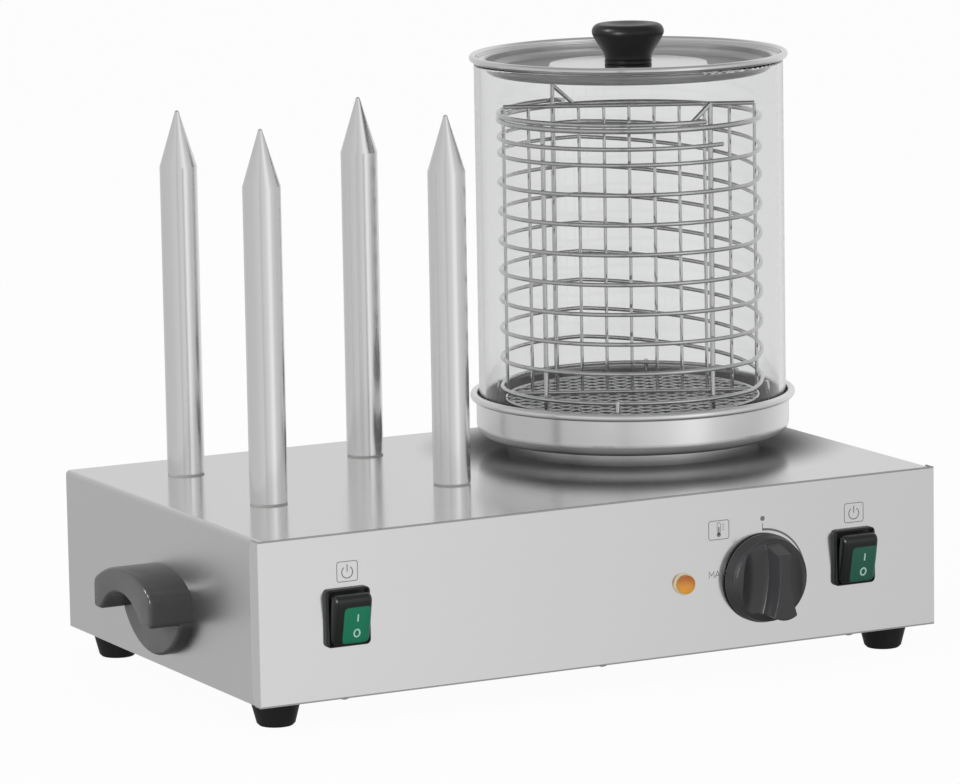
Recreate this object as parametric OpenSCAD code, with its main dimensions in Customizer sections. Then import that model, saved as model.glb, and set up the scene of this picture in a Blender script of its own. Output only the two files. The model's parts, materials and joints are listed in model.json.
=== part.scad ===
// Hot dog maker: a sheet-metal housing with four heated bread spikes and a steam
// pan that carries a glass cylinder, a wire basket and a lid. Millimetres, +Z up,
// front towards -Y, origin on the table under the middle of the outline.

/* [Housing] */
// Width of the housing over the lapped front flanges
body_w = 480; // [440:1:560]
// Depth of the housing from front face to rear face
body_d = 294; // [280:1:360]
// Height of the housing without its feet
body_h = 103; // [98:1:140]
// Thickness of the stainless sheet
sheet_t = 1; // [0.8:0.1:1.5]
// Outside radius of the folded top edges
bend_r = 3; // [2:0.5:6]
// Depth of the front panel's flange lapped over each side
lap_d = 12; // [8:1:18]
// Chamfer at the corners of the lapped flange
lap_chamfer = 7; // [3:0.5:10]
// Gap of the seam between top sheet and panels
seam_gap = 0.3; // [0.2:0.05:0.6]
// Depth of the folded flanges that carry the base plate
floor_flange = 14; // [12:1:20]

/* [Feet] */
// Height of each rubber foot
foot_h = 17; // [12:1:30]
// Radius of a foot where it meets the base
foot_top_r = 16; // [12:0.5:20]
// Radius of a foot on the table
foot_bottom_r = 12; // [10.5:0.5:18]
// Distance of each foot's middle from the housing's side
foot_inset_x = 22.5; // [20:0.5:40]
// Distance of each foot's middle from the housing's front or rear
foot_inset_y = 27; // [22:0.5:40]
// Radius of the recess for the foot screw's head
foot_recess_r = 6.5; // [6:0.1:8]

/* [Bread spikes] */
// Radius of a spike
spike_r = 12; // [10:0.5:14]
// Height of the straight part of a spike
spike_straight = 199; // [150:1:220]
// Height of the pointed end
spike_point = 36; // [20:1:50]
// Radius of the blunt tip
spike_tip_r = 1.6; // [1:0.1:3]
// Distance between spikes across the housing
spike_pitch_x = 129; // [110:1:132]
// Distance between spikes from front to rear
spike_pitch_y = 125; // [80:1:130]
// Centre of the spike group left of the housing's middle
spike_group_x = -113; // [-118:1:-108]
// Thickness of the gasket under a spike
gasket_t = 1; // [0.5:0.1:2]
// Radius of the threaded stem under a spike
stem_r = 8; // [7:0.5:9]
// Length of the stem below the top sheet
stem_drop = 15; // [13:1:22]
// Radius of the cartridge heater inside a spike
cartridge_r = 5; // [4:0.5:5.5]
// Length of the cartridge heater
cartridge_l = 165; // [100:1:180]

/* [Steam pan] */
// Centre of the pan right of the housing's middle
pan_x = 118; // [110:1:124]
// Set-back of the pan and the spikes behind the housing's middle
deck_y = 31; // [10:1:36]
// Inside radius of the pan's wall
pan_wall_r = 101.8; // [101.4:0.1:106]
// Thickness of the pan's sheet
pan_t = 1.2; // [0.8:0.1:1.6]
// Radius of the pan's foot ring
pan_foot_r = 83; // [70:0.5:88]
// Height of the foot ring
pan_foot_h = 9; // [7:0.5:14]
// Height of the middle of the pan's bead above its floor
pan_wall_h = 25; // [20:0.5:32]
// Outside radius of the pan's lower corner
pan_corner_r = 8; // [6:0.5:9]
// Radius of the rolled bead
pan_bead_r = 2.6; // [2:0.1:3.5]
// Radius of the heating plate under the pan
heater_r = 68; // [50:1:70]
// Thickness of the heating plate
heater_t = 10; // [9:0.5:14]

/* [Glass and lid] */
// Outside radius of the glass cylinder
glass_r = 101; // [99:0.1:101.4]
// Thickness of the glass
glass_t = 4; // [3:0.1:5]
// Height of the glass cylinder
glass_h = 242.3; // [232:0.1:260]
// Gap left under every piece that lifts off
lift_gap = 0.3; // [0.2:0.05:0.5]
// Outside radius of the lid's plug inside the glass
lid_plug_r = 94; // [90:0.5:94.5]
// Depth of the plug below the lid's flange
lid_plug_d = 8; // [6:0.5:10]
// Radius of the plug's lower corner
lid_corner_r = 6; // [4:0.5:7]
// Thickness of the lid's sheet
lid_t = 1.2; // [0.8:0.1:1.6]
// Radius of the lid's rolled bead
lid_bead_r = 2.3; // [1.8:0.1:3]
// Radius of the raised plateau in the lid's middle
lid_plateau_r = 55; // [40:1:70]
// Rise of the plateau above the sunken ring
lid_plateau_rise = 4; // [2:0.5:6]
// Height of the lid's knob
lid_knob_h = 26; // [22:0.5:36]
// Largest radius of the lid's knob
lid_knob_r = 23.6; // [20:0.1:28]
// Radius of the knob's neck
lid_neck_r = 15.4; // [12:0.1:17]

/* [Wire basket] */
// Middle radius of the hoops
hoop_r = 85.5; // [80:0.5:88]
// Radius of the wound wire
wound_r = 1.4; // [1:0.1:1.8]
// Radius of the top ring's wire
ring_wire_r = 1.8; // [1.4:0.1:2.2]
// Radius of the upright wires
upright_wire_r = 1.5; // [1.2:0.1:1.8]
// Radius of the divider's wires
divider_wire_r = 1.1; // [0.8:0.1:1.4]
// Radius of the bail's wire
bail_wire_r = 1.6; // [1.2:0.1:1.7]
// Clearance between wires that touch or pass each other
wire_gap = 0.1; // [0.08:0.02:0.3]
// Clearance between the bail and the wires below it
bail_gap = 0.4; // [0.3:0.05:0.8]
// Turn of the basket in the pan, counter-clockwise from above
basket_turn = -27; // [-45:1:45]
// Height of the mesh floor's top above the pan's floor
floor_rise = 24; // [18:0.5:30]
// Thickness of the mesh floor
mesh_t = 1.6; // [1:0.1:2.5]
// Distance between the mesh floor's openings
mesh_pitch = 9; // [8.6:0.1:14]
// Width of the mesh floor's openings
mesh_open = 7.4; // [5:0.1:8]
// Height of the lowest wound hoop above the mesh floor
first_hoop_rise = 7.6; // [5:0.1:14]
// Rise of the wound wire in each turn
hoop_pitch = 19.3; // [15:0.1:20]
// Number of full rises of the wound wire
hoop_rises = 8; // [6:1:8]
// Last, shorter rise up to the wire's cut end
last_rise = 10.3; // [8:0.1:15]
// Height of the top ring above the uppermost hoop
ring_rise = 11.5; // [9:0.1:16]
// Height of the divider's top rail above the top ring
divider_rise = 7.5; // [6.8:0.1:9]
// Number of upright wires in the divider
divider_count = 11; // [7:1:15]
// Height of the lifting ears above the top ring
ear_h = 14.5; // [13:0.5:18]
// Length of each ear along the ring
ear_l = 16; // [15:0.5:20]
// Spread of the legs outside the hoops
leg_spread = 1.8; // [1:0.1:2.4]

/* [Controls] */
// Distance of each switch from the housing's middle
switch_x = 180; // [160:1:195]
// Height of the switches above the housing's lower edge
switch_z = 51; // [40:1:60]
// Width of a switch frame
frame_w = 30; // [29:0.5:34]
// Height of a switch frame
frame_h = 36; // [35.5:0.5:44]
// Thickness of a switch frame
frame_t = 3.5; // [3:0.1:5]
// Width of a switch rocker
rocker_w = 26; // [22:0.5:26]
// Height of a switch rocker
rocker_h = 32; // [28:0.5:32]
// Stand of the rocker's face before the panel
rocker_out = 9.5; // [8:0.1:12]
// Tilt of the rocker either way from level
rocker_tilt = 12; // [6:0.5:12]
// Place of the thermostat knob right of the housing's middle
dial_x = 112.5; // [100:0.5:125]
// Height of the thermostat knob above the housing's lower edge
dial_z = 44; // [40:0.5:60]
// Radius of the knob's skirt
skirt_r = 28.5; // [27.5:0.5:34]
// Height of the skirt
skirt_h = 10; // [9:0.5:11]
// Radius of the knob's face
face_r = 25.6; // [24:0.1:26.5]
// Height of the knob's face above the panel
face_out = 12.7; // [12.5:0.1:14]
// Height of the knob's grip above the panel
grip_out = 29; // [24:0.5:32]
// Half width of the knob's grip at its narrowest
grip_half_w = 4; // [3.9:0.1:6]
// Gap between the knob's skirt and the panel
knob_gap = 0.8; // [0.4:0.1:1.5]
// Radius of the thermostat's shaft
shaft_r = 3; // [2.5:0.1:3.2]
// Running clearance round the shaft
shaft_gap = 0.05; // [0.02:0.01:0.1]
// Place of the pilot lamp right of the housing's middle
lamp_x = 55; // [40:0.5:70]
// Height of the pilot lamp above the housing's lower edge
lamp_z = 46; // [40:0.5:60]
// Radius of the lamp's clear rim
lamp_rim_r = 7; // [6.6:0.1:8]
// Radius of the lamp's amber cap
lamp_cap_r = 5.9; // [5:0.1:6.4]

/* [Side handles] */
// Radius of the round lower edge of the handle's base
rosette_r = 52; // [48:0.5:60]
// Depth of that edge below the base's middle
rosette_drop = 29; // [26:0.5:32]
// Thickness of the base
rosette_t = 9; // [8:0.5:12]
// Reach of the grip out from the housing's side
grip_reach = 29; // [25:0.5:40]
// Length of the grip from front to rear
grip_l = 87; // [80:1:100]
// Height of the base's middle above the housing's lower edge
handle_z = 38; // [34:0.5:60]
// Distance of the base's middle in front of the housing's middle
handle_fore = 16; // [0:0.5:30]
// Radius of the finger arch under the grip
arch_r = 38.5; // [34:0.5:44]
// Height of the finger arch's crown above the base's middle
arch_top = 11.7; // [8:0.1:14]

/* [Rear cable entry] */
// Place of the cable gland right of the housing's middle
gland_x = 150; // [100:1:200]
// Height of the gland above the housing's lower edge
gland_z = 35; // [25:1:60]
// Radius of the gland's open bore
gland_bore_r = 4; // [3:0.1:5]
// Radius of the gland's thread
gland_thread_r = 9.8; // [8:0.1:11]
// Reach of the gland behind the rear panel
gland_out = 20; // [16:1:26]

/* [Hidden] */
$fn = 72;
clear = 0.2;
over = 1;
tuck = 0.1;
// Places of the main faces
knob_reach = grip_out + knob_gap;
mid_y = (knob_reach - gland_out) / 2;
front_y = mid_y - body_d / 2;
rear_y = mid_y + body_d / 2;
base_z = foot_h;
deck_z = foot_h + body_h;
shell_w = body_w - 2 * sheet_t;
inner_w = shell_w - 2 * sheet_t;
shell_front = front_y + sheet_t + seam_gap;
group_y = mid_y + deck_y;
// Fasteners
screw_r = 1.9;
screw_head_r = 3.6;
screw_head_h = 1.8;
dome_head_r = 4.8;
dome_head_h = 2.4;
base_screw_x = body_w * 3 / 8;
foot_screw_r = 2.4;
foot_head_r = 4.8;
foot_head_h = 3;
foot_recess_h = 6;
foot_nut_h = 4;
foot_nut_r = 4.6;
// Spikes
cartridge_gap = 0.2;
collar_h = 6;
collar_r = cartridge_r + 1.8;
spike_nut_h = 8;
spike_nut_r = stem_r + 5.8;
// Pan heights above the deck
pan_floor = pan_foot_h + pan_t;
pan_bead_z = pan_floor + pan_wall_h;
pan_corner_x = pan_wall_r + pan_t - pan_corner_r;
pan_corner_z = pan_foot_h + pan_corner_r;
pan_bead_x = pan_wall_r + pan_bead_r;
stud_r = 4;
stud_drop = 16;
deck_hole_r = heater_r + 4;
bracket_t = 3;
bracket_w = 26;
bracket_l = 2 * deck_hole_r + 40;
pan_nut_h = 6.5;
pan_nut_r = stud_r + 3.5;
bulb_r = 3;
bulb_l = 70;
// Glass and lid heights above the deck
glass_edge = 1.7;
glass_reach = pan_corner_r - pan_t - glass_edge - lift_gap;
glass_off = max(0, glass_r - glass_edge - pan_corner_x);
glass_z = pan_corner_z - sqrt(glass_reach * glass_reach - glass_off * glass_off) - glass_edge;
glass_top = glass_z + glass_h;
flange_z = glass_top + lift_gap;
plug_z = flange_z - lid_plug_d;
lid_bead_x = glass_r + 0.8;
lid_bead_z = flange_z + lid_bead_r;
plateau_z = plug_z + lid_plateau_rise;
knob_z = plateau_z + lid_t;
lid_screw_r = 2.4;
lid_screw_l = 12;
rim_seam = 0.05;
// Basket heights above the deck
mesh_top = pan_floor + floor_rise;
hoop_low = mesh_top + first_hoop_rise;
hoop_high = hoop_low + hoop_pitch * hoop_rises;
cut_end_z = hoop_high + last_rise;
ring_z = cut_end_z + ring_rise;
bail_z = ring_z + ring_wire_r + bail_wire_r + bail_gap;
rail_z = ring_z + divider_rise;
rail_wire_r = divider_wire_r + 0.3;
upright_r = hoop_r - upright_wire_r - max(ring_wire_r + wire_gap, bail_wire_r + bail_gap);
upright_low = mesh_top + wire_gap;
divider_half = hoop_r - ring_wire_r - divider_wire_r - 4 * wire_gap;
foot_rail_z = mesh_top + rail_wire_r + wire_gap;
mesh_r = hoop_r - wound_r;
mesh_rim = 2.5;
bend_swell = 0.06;
// Turns of the wound wire: level round the front, rising across the right rear
cut_end_turn = -48;
level_first = 200;
rise_span = 140;
wound_tail = 300;
ring_step = 15;
wire_sides = 6;
wound_travel = level_first + rise_span + 360 * hoop_rises + wound_tail;
wound_steps = floor(wound_travel / ring_step);
// Turns of the uprights, the ears and the bail about the basket's axis
ear_turn = -53;
plain_turn = 46;
leg_turn = -8;
ear_angle = ear_l / upright_r * 180 / PI;
bail_turn = ear_turn - ear_angle * 0.42;
bail_pin_in = 7;
leg_r = hoop_r + wound_r + upright_wire_r + wire_gap;
leg_low = pan_floor + lift_gap;
leg_knee = mesh_top - 5;
// Controls
switch_shift = -1;
cutout_w = 25;
cutout_h = 30;
frame_open_w = rocker_w + 1;
frame_open_h = rocker_h + 2;
frame_corner = 3;
switch_body_d = 28;
pivot_out = 2.3;
pivot_r = 1;
pivot_l = 1.1;
pivot_gap = 0.06;
rocker_round = 3.5;
lens_w = rocker_w - 7;
lens_h = rocker_h - 8;
lens_proud = 0.2;
bush_r = 4.5;
bush_out = 3;
shaft_in = 12;
shaft_out = 16;
flat_cut = 0.8;
thermo_w = 44;
thermo_h = 36;
thermo_d = 26;
thermo_screw_x = 14;
knob_recess_r = 20;
knob_recess_out = 5;
flat_r = face_r - 3.2;
waist_r = 95;
waist_rise = 8;
scoop_r = 14.8;
scoop_in = 10;
scoop_dip = 1.7;
grip_top = 19;
grip_foot = 23.5;
grip_end_r = 14;
grip_end_y = -9;
lamp_body_r = 5.5;
lamp_body_d = 18;
lamp_rim_t = 1.4;
lamp_cap_out = 6;
// Handles
grip_front = 31;
hook_top = 28;
hook_r = 84;
hook_x = 11.5;
hook_shoulder = 19;
hook_low = -3.5;
hook_corner = 7;
arch_x = 14.5;
end_inset = 0.3;
base_top = arch_top + 1.8;
handle_screw_r = 2.1;
handle_screw_y = 16;
handle_screw_l = 7;
// Rear
gland_hex_r = gland_thread_r + 4;
gland_hex_t = 6;
gland_nut_t = 5;
gland_in = 9;
block_w = 52;
block_d = 22;
block_h = 18;

// Shared shapes

// Rectangle with round corners, about the origin
module rounded_rect(w, h, r) {
    square([w - 2 * r, h], center = true);
    square([w, h - 2 * r], center = true);
    for (sx = [-1, 1], sy = [-1, 1])
        translate([sx * (w / 2 - r), sy * (h / 2 - r)])
            circle(r);
}

// Quarter of a bent sheet in section; turn counts quarter turns from the first quadrant
module bend(at, r_out, t, turn) {
    translate(at)
        intersection() {
            difference() {
                circle(r_out);
                circle(r_out - t);
            }
            rotate(90 * turn)
                square(r_out + over);
        }
}

// End of the line from a point that just touches a circle on its right
function tangent_end(from, middle, r) =
    let (gap = middle - from, lean = atan2(gap[1], gap[0]) - asin(r / norm(gap)))
    from + sqrt(gap * gap - r * r) * [cos(lean), sin(lean)];

// Rectangle given by two corners
module span(low, high) {
    translate(low)
        square(high - low);
}

// Places children on the front face: local +Y up, local +Z out of the panel
module on_front(x, z) {
    translate([x, front_y, base_z + z])
        rotate([90, 0, 0])
            children();
}

// Places children on the left side: local +X to the front, +Y up, +Z out
module on_left(z) {
    translate([-shell_w / 2, mid_y - handle_fore, base_z + z])
        rotate([90, 0, -90])
            children();
}

// Places children on the rear panel: local +Y up, local +Z out of the panel
module on_rear(x, z) {
    translate([x, rear_y, base_z + z])
        rotate([90, 0, 180])
            children();
}

// Repeats children under each of the four feet
module at_feet() {
    for (sx = [-1, 1], sy = [-1, 1])
        translate([sx * (body_w / 2 - foot_inset_x), mid_y + sy * (body_d / 2 - foot_inset_y), 0])
            children();
}

// Repeats children at each of the four spikes, on the deck
module at_spikes() {
    for (sx = [-1, 1], sy = [-1, 1])
        translate([spike_group_x + sx * spike_pitch_x / 2, group_y + sy * spike_pitch_y / 2, deck_z])
            children();
}

// Places children on the pan's axis, on the deck
module on_pan() {
    translate([pan_x, group_y, deck_z])
        children();
}

// Places children on the pan's axis, turned with the basket
module in_basket() {
    on_pan()
        rotate(basket_turn)
            children();
}

// Straight wire between two points
module rod(from, to, r) {
    run = to - from;
    translate(from)
        rotate([0, acos(run[2] / norm(run)), atan2(run[1], run[0])])
            cylinder(h = norm(run), r = r);
}

// Rounding where two wires meet in a bend, a little fuller than the wire
module knuckle(at, r) {
    translate(at)
        sphere(r + bend_swell);
}

// Hexagon nut with a plain bore, standing on the origin
module nut(r, h, bore) {
    difference() {
        cylinder(h = h, r = r, $fn = 6);
        translate([0, 0, -over])
            cylinder(h = h + 2 * over, r = bore);
    }
}

// Domed screw head hanging under the origin
module dome_head() {
    r = (pow(dome_head_r, 2) + pow(dome_head_h, 2)) / (2 * dome_head_h);
    rotate_extrude()
        intersection() {
            translate([0, r - dome_head_h])
                circle(r);
            span([0, -dome_head_h], [dome_head_r, 0]);
        }
}

// Places of the base screws along the front and rear edges
module at_base_screws() {
    for (x = [-base_screw_x, 0, base_screw_x], y = [front_y, rear_y])
        translate([x, y + sign(mid_y - y) * (sheet_t + floor_flange / 2), base_z])
            children();
}

// Housing

module shell_section(inset) {
    w = shell_w - 2 * inset;
    top = body_h - inset;
    r = bend_r - inset;
    span([-w / 2, 0], [w / 2, top - r]);
    span([-w / 2 + r, 0], [w / 2 - r, top]);
    for (side = [-1, 1])
        translate([side * (w / 2 - r), top - r])
            circle(r);
}

module housing_shell() {
    depth = rear_y - shell_front;
    color("silver")
        difference() {
            translate([0, rear_y, base_z])
                rotate([90, 0, 0]) {
                    linear_extrude(depth)
                        difference() {
                            shell_section(0);
                            shell_section(sheet_t);
                            span([-inner_w / 2, -over], [inner_w / 2, body_h / 2]);
                        }
                    translate([0, 0, sheet_t + clear])
                        linear_extrude(depth - 2 * (sheet_t + clear))
                            for (side = [-1, 1])
                                translate([side * (inner_w - floor_flange) / 2, 1.5 * sheet_t])
                                    square([floor_flange, sheet_t], center = true);
                }
            at_spikes()
                translate([0, 0, -sheet_t - over])
                    cylinder(h = sheet_t + 2 * over, r = stem_r + clear);
            on_pan()
                translate([0, 0, -sheet_t - over])
                    cylinder(h = sheet_t + 2 * over, r = deck_hole_r);
            for (side = [0, 1])
                mirror([side, 0, 0])
                    on_left(handle_z)
                        for (y = [-1, 1])
                            translate([y * handle_screw_y, 0, -sheet_t - over])
                                cylinder(h = sheet_t + 2 * over, r = handle_screw_r + clear);
        }
}

module front_panel() {
    color("gainsboro")
        difference() {
            union() {
                on_front(0, body_h / 2)
                    translate([0, 0, -sheet_t])
                        linear_extrude(sheet_t)
                            square([body_w, body_h], center = true);
                for (side = [0, 1])
                    mirror([side, 0, 0])
                        translate([shell_w / 2, front_y, base_z])
                            rotate([90, 0, 90])
                                linear_extrude(sheet_t)
                                    polygon([
                                        [0, 0], [lap_d - lap_chamfer / 2, 0], [lap_d, lap_chamfer],
                                        [lap_d, body_h - lap_chamfer], [lap_d - lap_chamfer / 2, body_h],
                                        [0, body_h]
                                    ]);
                translate([0, front_y, base_z + sheet_t])
                    linear_extrude(sheet_t)
                        span([-inner_w / 2 + floor_flange + over, sheet_t / 2],
                             [inner_w / 2 - floor_flange - over, sheet_t + floor_flange]);
            }
            for (side = [-1, 1])
                on_front(side * switch_x + switch_shift, switch_z)
                    translate([0, 0, -sheet_t - over])
                        linear_extrude(sheet_t + 2 * over)
                            square([cutout_w, cutout_h], center = true);
            on_front(dial_x, dial_z) {
                translate([0, 0, -sheet_t - over])
                    cylinder(h = sheet_t + 2 * over, r = bush_r + clear);
                for (side = [-1, 1])
                    translate([side * thermo_screw_x, 0, -sheet_t - over])
                        cylinder(h = sheet_t + 2 * over, r = screw_r + clear);
            }
            on_front(lamp_x, lamp_z)
                translate([0, 0, -sheet_t - over])
                    cylinder(h = sheet_t + 2 * over, r = lamp_body_r + clear);
            at_base_screws()
                cylinder(h = 3 * sheet_t, r = screw_r + clear);
        }
}

module rear_panel() {
    w = inner_w - 2 * clear;
    color("silver")
        difference() {
            union() {
                on_rear(0, 0)
                    translate([0, 0, -sheet_t])
                        linear_extrude(sheet_t)
                            intersection() {
                                shell_section(sheet_t + clear);
                                span([-w / 2, 0], [w / 2, body_h]);
                            }
                translate([0, rear_y, base_z + sheet_t])
                    linear_extrude(sheet_t)
                        span([-w / 2 + floor_flange + over, -sheet_t - floor_flange],
                             [w / 2 - floor_flange - over, -sheet_t / 2]);
            }
            on_rear(gland_x, gland_z)
                translate([0, 0, -sheet_t - over])
                    cylinder(h = sheet_t + 2 * over, r = gland_thread_r + clear);
            at_base_screws()
                cylinder(h = 3 * sheet_t, r = screw_r + clear);
        }
}

module base_plate() {
    vent_w = 4;
    vent_l = 44;
    vent_pitch = 11;
    vent_count = 9;
    color("darkgray")
        difference() {
            translate([0, mid_y, base_z])
                linear_extrude(sheet_t)
                    difference() {
                        square([inner_w - 2 * clear, body_d - 2 * (sheet_t + clear)], center = true);
                        for (side = [-1, 1], i = [0:vent_count - 1])
                            translate([side * body_w / 5 + (i - (vent_count - 1) / 2) * vent_pitch, 0])
                                rounded_rect(vent_w, vent_l, vent_w / 2 - 0.01);
                    }
            at_feet()
                translate([0, 0, base_z - over])
                    cylinder(h = sheet_t + 2 * over, r = foot_screw_r + clear);
            at_base_screws()
                translate([0, 0, -over])
                    cylinder(h = sheet_t + 2 * over, r = screw_r + clear);
        }
}

module base_screws() {
    color("darkgray")
        at_base_screws() {
            dome_head();
            cylinder(h = 3 * sheet_t + 4, r = screw_r);
        }
}

// Feet

module foot(sx, sy) {
    edge = 1.5;
    color("black")
        translate([sx * (body_w / 2 - foot_inset_x), mid_y + sy * (body_d / 2 - foot_inset_y), 0])
            rotate_extrude()
                polygon([
                    [foot_screw_r + clear, foot_recess_h], [foot_recess_r, foot_recess_h], [foot_recess_r, 0],
                    [foot_bottom_r - edge, 0], [foot_bottom_r, edge], [foot_top_r, foot_h],
                    [foot_screw_r + clear, foot_h]
                ]);
}

module foot_front_left() {
    foot(-1, -1);
}

module foot_front_right() {
    foot(1, -1);
}

module foot_rear_left() {
    foot(-1, 1);
}

module foot_rear_right() {
    foot(1, 1);
}

module foot_screws() {
    color("darkgray")
        at_feet() {
            translate([0, 0, foot_recess_h - foot_head_h])
                cylinder(h = foot_head_h, r = foot_head_r);
            translate([0, 0, foot_recess_h - over])
                cylinder(h = foot_h - foot_recess_h + sheet_t + foot_nut_h + 2 * over, r = foot_screw_r);
        }
}

module foot_nuts() {
    color("darkgray")
        at_feet()
            translate([0, 0, base_z + sheet_t])
                nut(foot_nut_r, foot_nut_h, foot_screw_r + shaft_gap);
}

// Bread spikes

module spike(sx, sy) {
    bore = cartridge_r + cartridge_gap;
    flat = spike_tip_r * cos(atan((spike_r - spike_tip_r) / spike_point));
    color("lightgray")
        translate([spike_group_x + sx * spike_pitch_x / 2, group_y + sy * spike_pitch_y / 2, deck_z])
            difference() {
                union() {
                    translate([0, 0, gasket_t])
                        cylinder(h = spike_straight, r = spike_r);
                    translate([0, 0, gasket_t + spike_straight])
                        cylinder(h = spike_point - spike_tip_r, r1 = spike_r, r2 = flat);
                    translate([0, 0, gasket_t + spike_straight + spike_point - spike_tip_r])
                        sphere(spike_tip_r);
                    translate([0, 0, -stem_drop])
                        cylinder(h = stem_drop + gasket_t + over, r = stem_r);
                }
                translate([0, 0, -stem_drop - over])
                    cylinder(h = cartridge_l + cartridge_gap + over, r = bore);
            }
}

module spike_front_left() {
    spike(-1, -1);
}

module spike_front_right() {
    spike(1, -1);
}

module spike_rear_left() {
    spike(-1, 1);
}

module spike_rear_right() {
    spike(1, 1);
}

module spike_gaskets() {
    color("dimgray")
        at_spikes()
            difference() {
                cylinder(h = gasket_t, r = spike_r - 0.3);
                translate([0, 0, -over])
                    cylinder(h = gasket_t + 2 * over, r = stem_r + clear);
            }
}

module spike_nuts() {
    color("gray")
        at_spikes()
            translate([0, 0, -sheet_t - spike_nut_h])
                nut(spike_nut_r, spike_nut_h, stem_r + shaft_gap);
}

module spike_heaters() {
    color("tan")
        at_spikes()
            translate([0, 0, -stem_drop]) {
                translate([0, 0, -collar_h])
                    cylinder(h = collar_h, r = collar_r);
                cylinder(h = cartridge_l, r = cartridge_r);
            }
}

// Steam pan and its heater

module pan_section() {
    span([0, pan_foot_h], [pan_corner_x, pan_floor]);
    bend([pan_corner_x, pan_corner_z], pan_corner_r, pan_t, 3);
    span([pan_wall_r, pan_corner_z], [pan_wall_r + pan_t, pan_bead_z]);
    translate([pan_bead_x, pan_bead_z])
        circle(pan_bead_r);
    span([pan_foot_r - 1.5 * pan_t, 0], [pan_foot_r, pan_floor]);
}

module water_pan() {
    color("silver")
        on_pan()
            rotate_extrude()
                pan_section();
}

module pan_heater() {
    color("darkgray")
        on_pan()
            translate([0, 0, pan_foot_h - heater_t])
                difference() {
                    cylinder(h = heater_t, r = heater_r);
                    translate([0, 0, -over])
                        cylinder(h = heater_t + 2 * over, r = stud_r + clear);
                }
}

module heater_bracket() {
    color("gray")
        on_pan()
            translate([0, 0, pan_foot_h - heater_t - bracket_t])
                difference() {
                    union() {
                        translate([-bracket_l / 2, -bracket_w / 2, 0])
                            cube([bracket_l, bracket_w, bracket_t]);
                        for (side = [0, 1])
                            mirror([side, 0, 0])
                                translate([deck_hole_r + 6, -bracket_w / 2, 0])
                                    cube([bracket_l / 2 - deck_hole_r - 6, bracket_w,
                                          heater_t - pan_foot_h - sheet_t + bracket_t]);
                    }
                    translate([0, 0, -over])
                        cylinder(h = bracket_t + 2 * over, r = stud_r + clear);
                }
}

module pan_stud() {
    color("gray")
        on_pan()
            translate([0, 0, -stud_drop])
                cylinder(h = stud_drop + pan_foot_h, r = stud_r);
}

module pan_nut() {
    color("gray")
        on_pan()
            translate([0, 0, pan_foot_h - heater_t - bracket_t - pan_nut_h])
                nut(pan_nut_r, pan_nut_h, stud_r + shaft_gap);
}

module sensor_bulb() {
    color("peru")
        on_pan()
            translate([-bulb_l / 2, bracket_w / 2 + 2 * bulb_r, pan_foot_h - heater_t - bulb_r - shaft_gap])
                rotate([0, 90, 0])
                    cylinder(h = bulb_l, r = bulb_r);
}

// Glass and lid

module glass_section() {
    r = glass_edge;
    translate([glass_r - glass_t / 2, glass_z + glass_h / 2])
        rounded_rect(glass_t, glass_h, r);
}

module glass_cylinder() {
    color("lightcyan", 0.4)
        on_pan()
            rotate_extrude()
                glass_section();
}

module lid_dish_section() {
    corner_x = lid_plug_r - lid_corner_r;
    corner_z = plug_z + lid_corner_r;
    hole = lid_screw_r + clear;
    span([hole, plateau_z], [lid_plateau_r, plateau_z + lid_t]);
    span([lid_plateau_r - lid_t, plug_z], [lid_plateau_r, plateau_z + lid_t]);
    span([lid_plateau_r - lid_t, plug_z], [corner_x, plug_z + lid_t]);
    bend([corner_x, corner_z], lid_corner_r, lid_t, 3);
    span([lid_plug_r - lid_t, corner_z], [lid_plug_r, flange_z + lid_t]);
}

module lid_rim_section() {
    span([lid_plug_r + rim_seam, flange_z], [lid_bead_x, flange_z + lid_t]);
    translate([lid_bead_x, lid_bead_z])
        circle(lid_bead_r);
}

// The rolled rim is a ring round the dish, so its solid stays clear of the glass
module lid() {
    color("silver")
        on_pan() {
            rotate_extrude()
                lid_dish_section();
            rotate_extrude()
                lid_rim_section();
        }
}

module lid_knob_section() {
    neck_h = 5;
    rim_r = 5.2;
    rim = [lid_knob_r - rim_r, lid_knob_h - rim_r];
    dish_r = 60;
    dish_d = 1.6;
    neck = [lid_neck_r, neck_h];
    swell = tangent_end(neck, rim, rim_r - tuck);
    difference() {
        union() {
            polygon([[0, 0], [lid_neck_r, 0], neck, swell, rim, [0, rim[1]]]);
            span([0, rim[1] - over], [rim[0], lid_knob_h]);
            translate(rim)
                circle(rim_r);
        }
        translate([0, lid_knob_h + dish_r - dish_d])
            circle(dish_r);
        span([-over, -over], [lid_screw_r + shaft_gap, lid_screw_l]);
        span([-rim_r, -over], [0, lid_knob_h + over]);
    }
}

module lid_knob() {
    color("black")
        on_pan()
            translate([0, 0, knob_z])
                rotate_extrude()
                    lid_knob_section();
}

module lid_knob_screw() {
    head_r = 5;
    head_h = 2.6;
    color("gray")
        on_pan() {
            translate([0, 0, plateau_z - head_h])
                cylinder(h = head_h, r = head_r);
            translate([0, 0, plateau_z - over])
                cylinder(h = lid_t + lid_screw_l, r = lid_screw_r);
        }
}

// Wire basket

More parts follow.
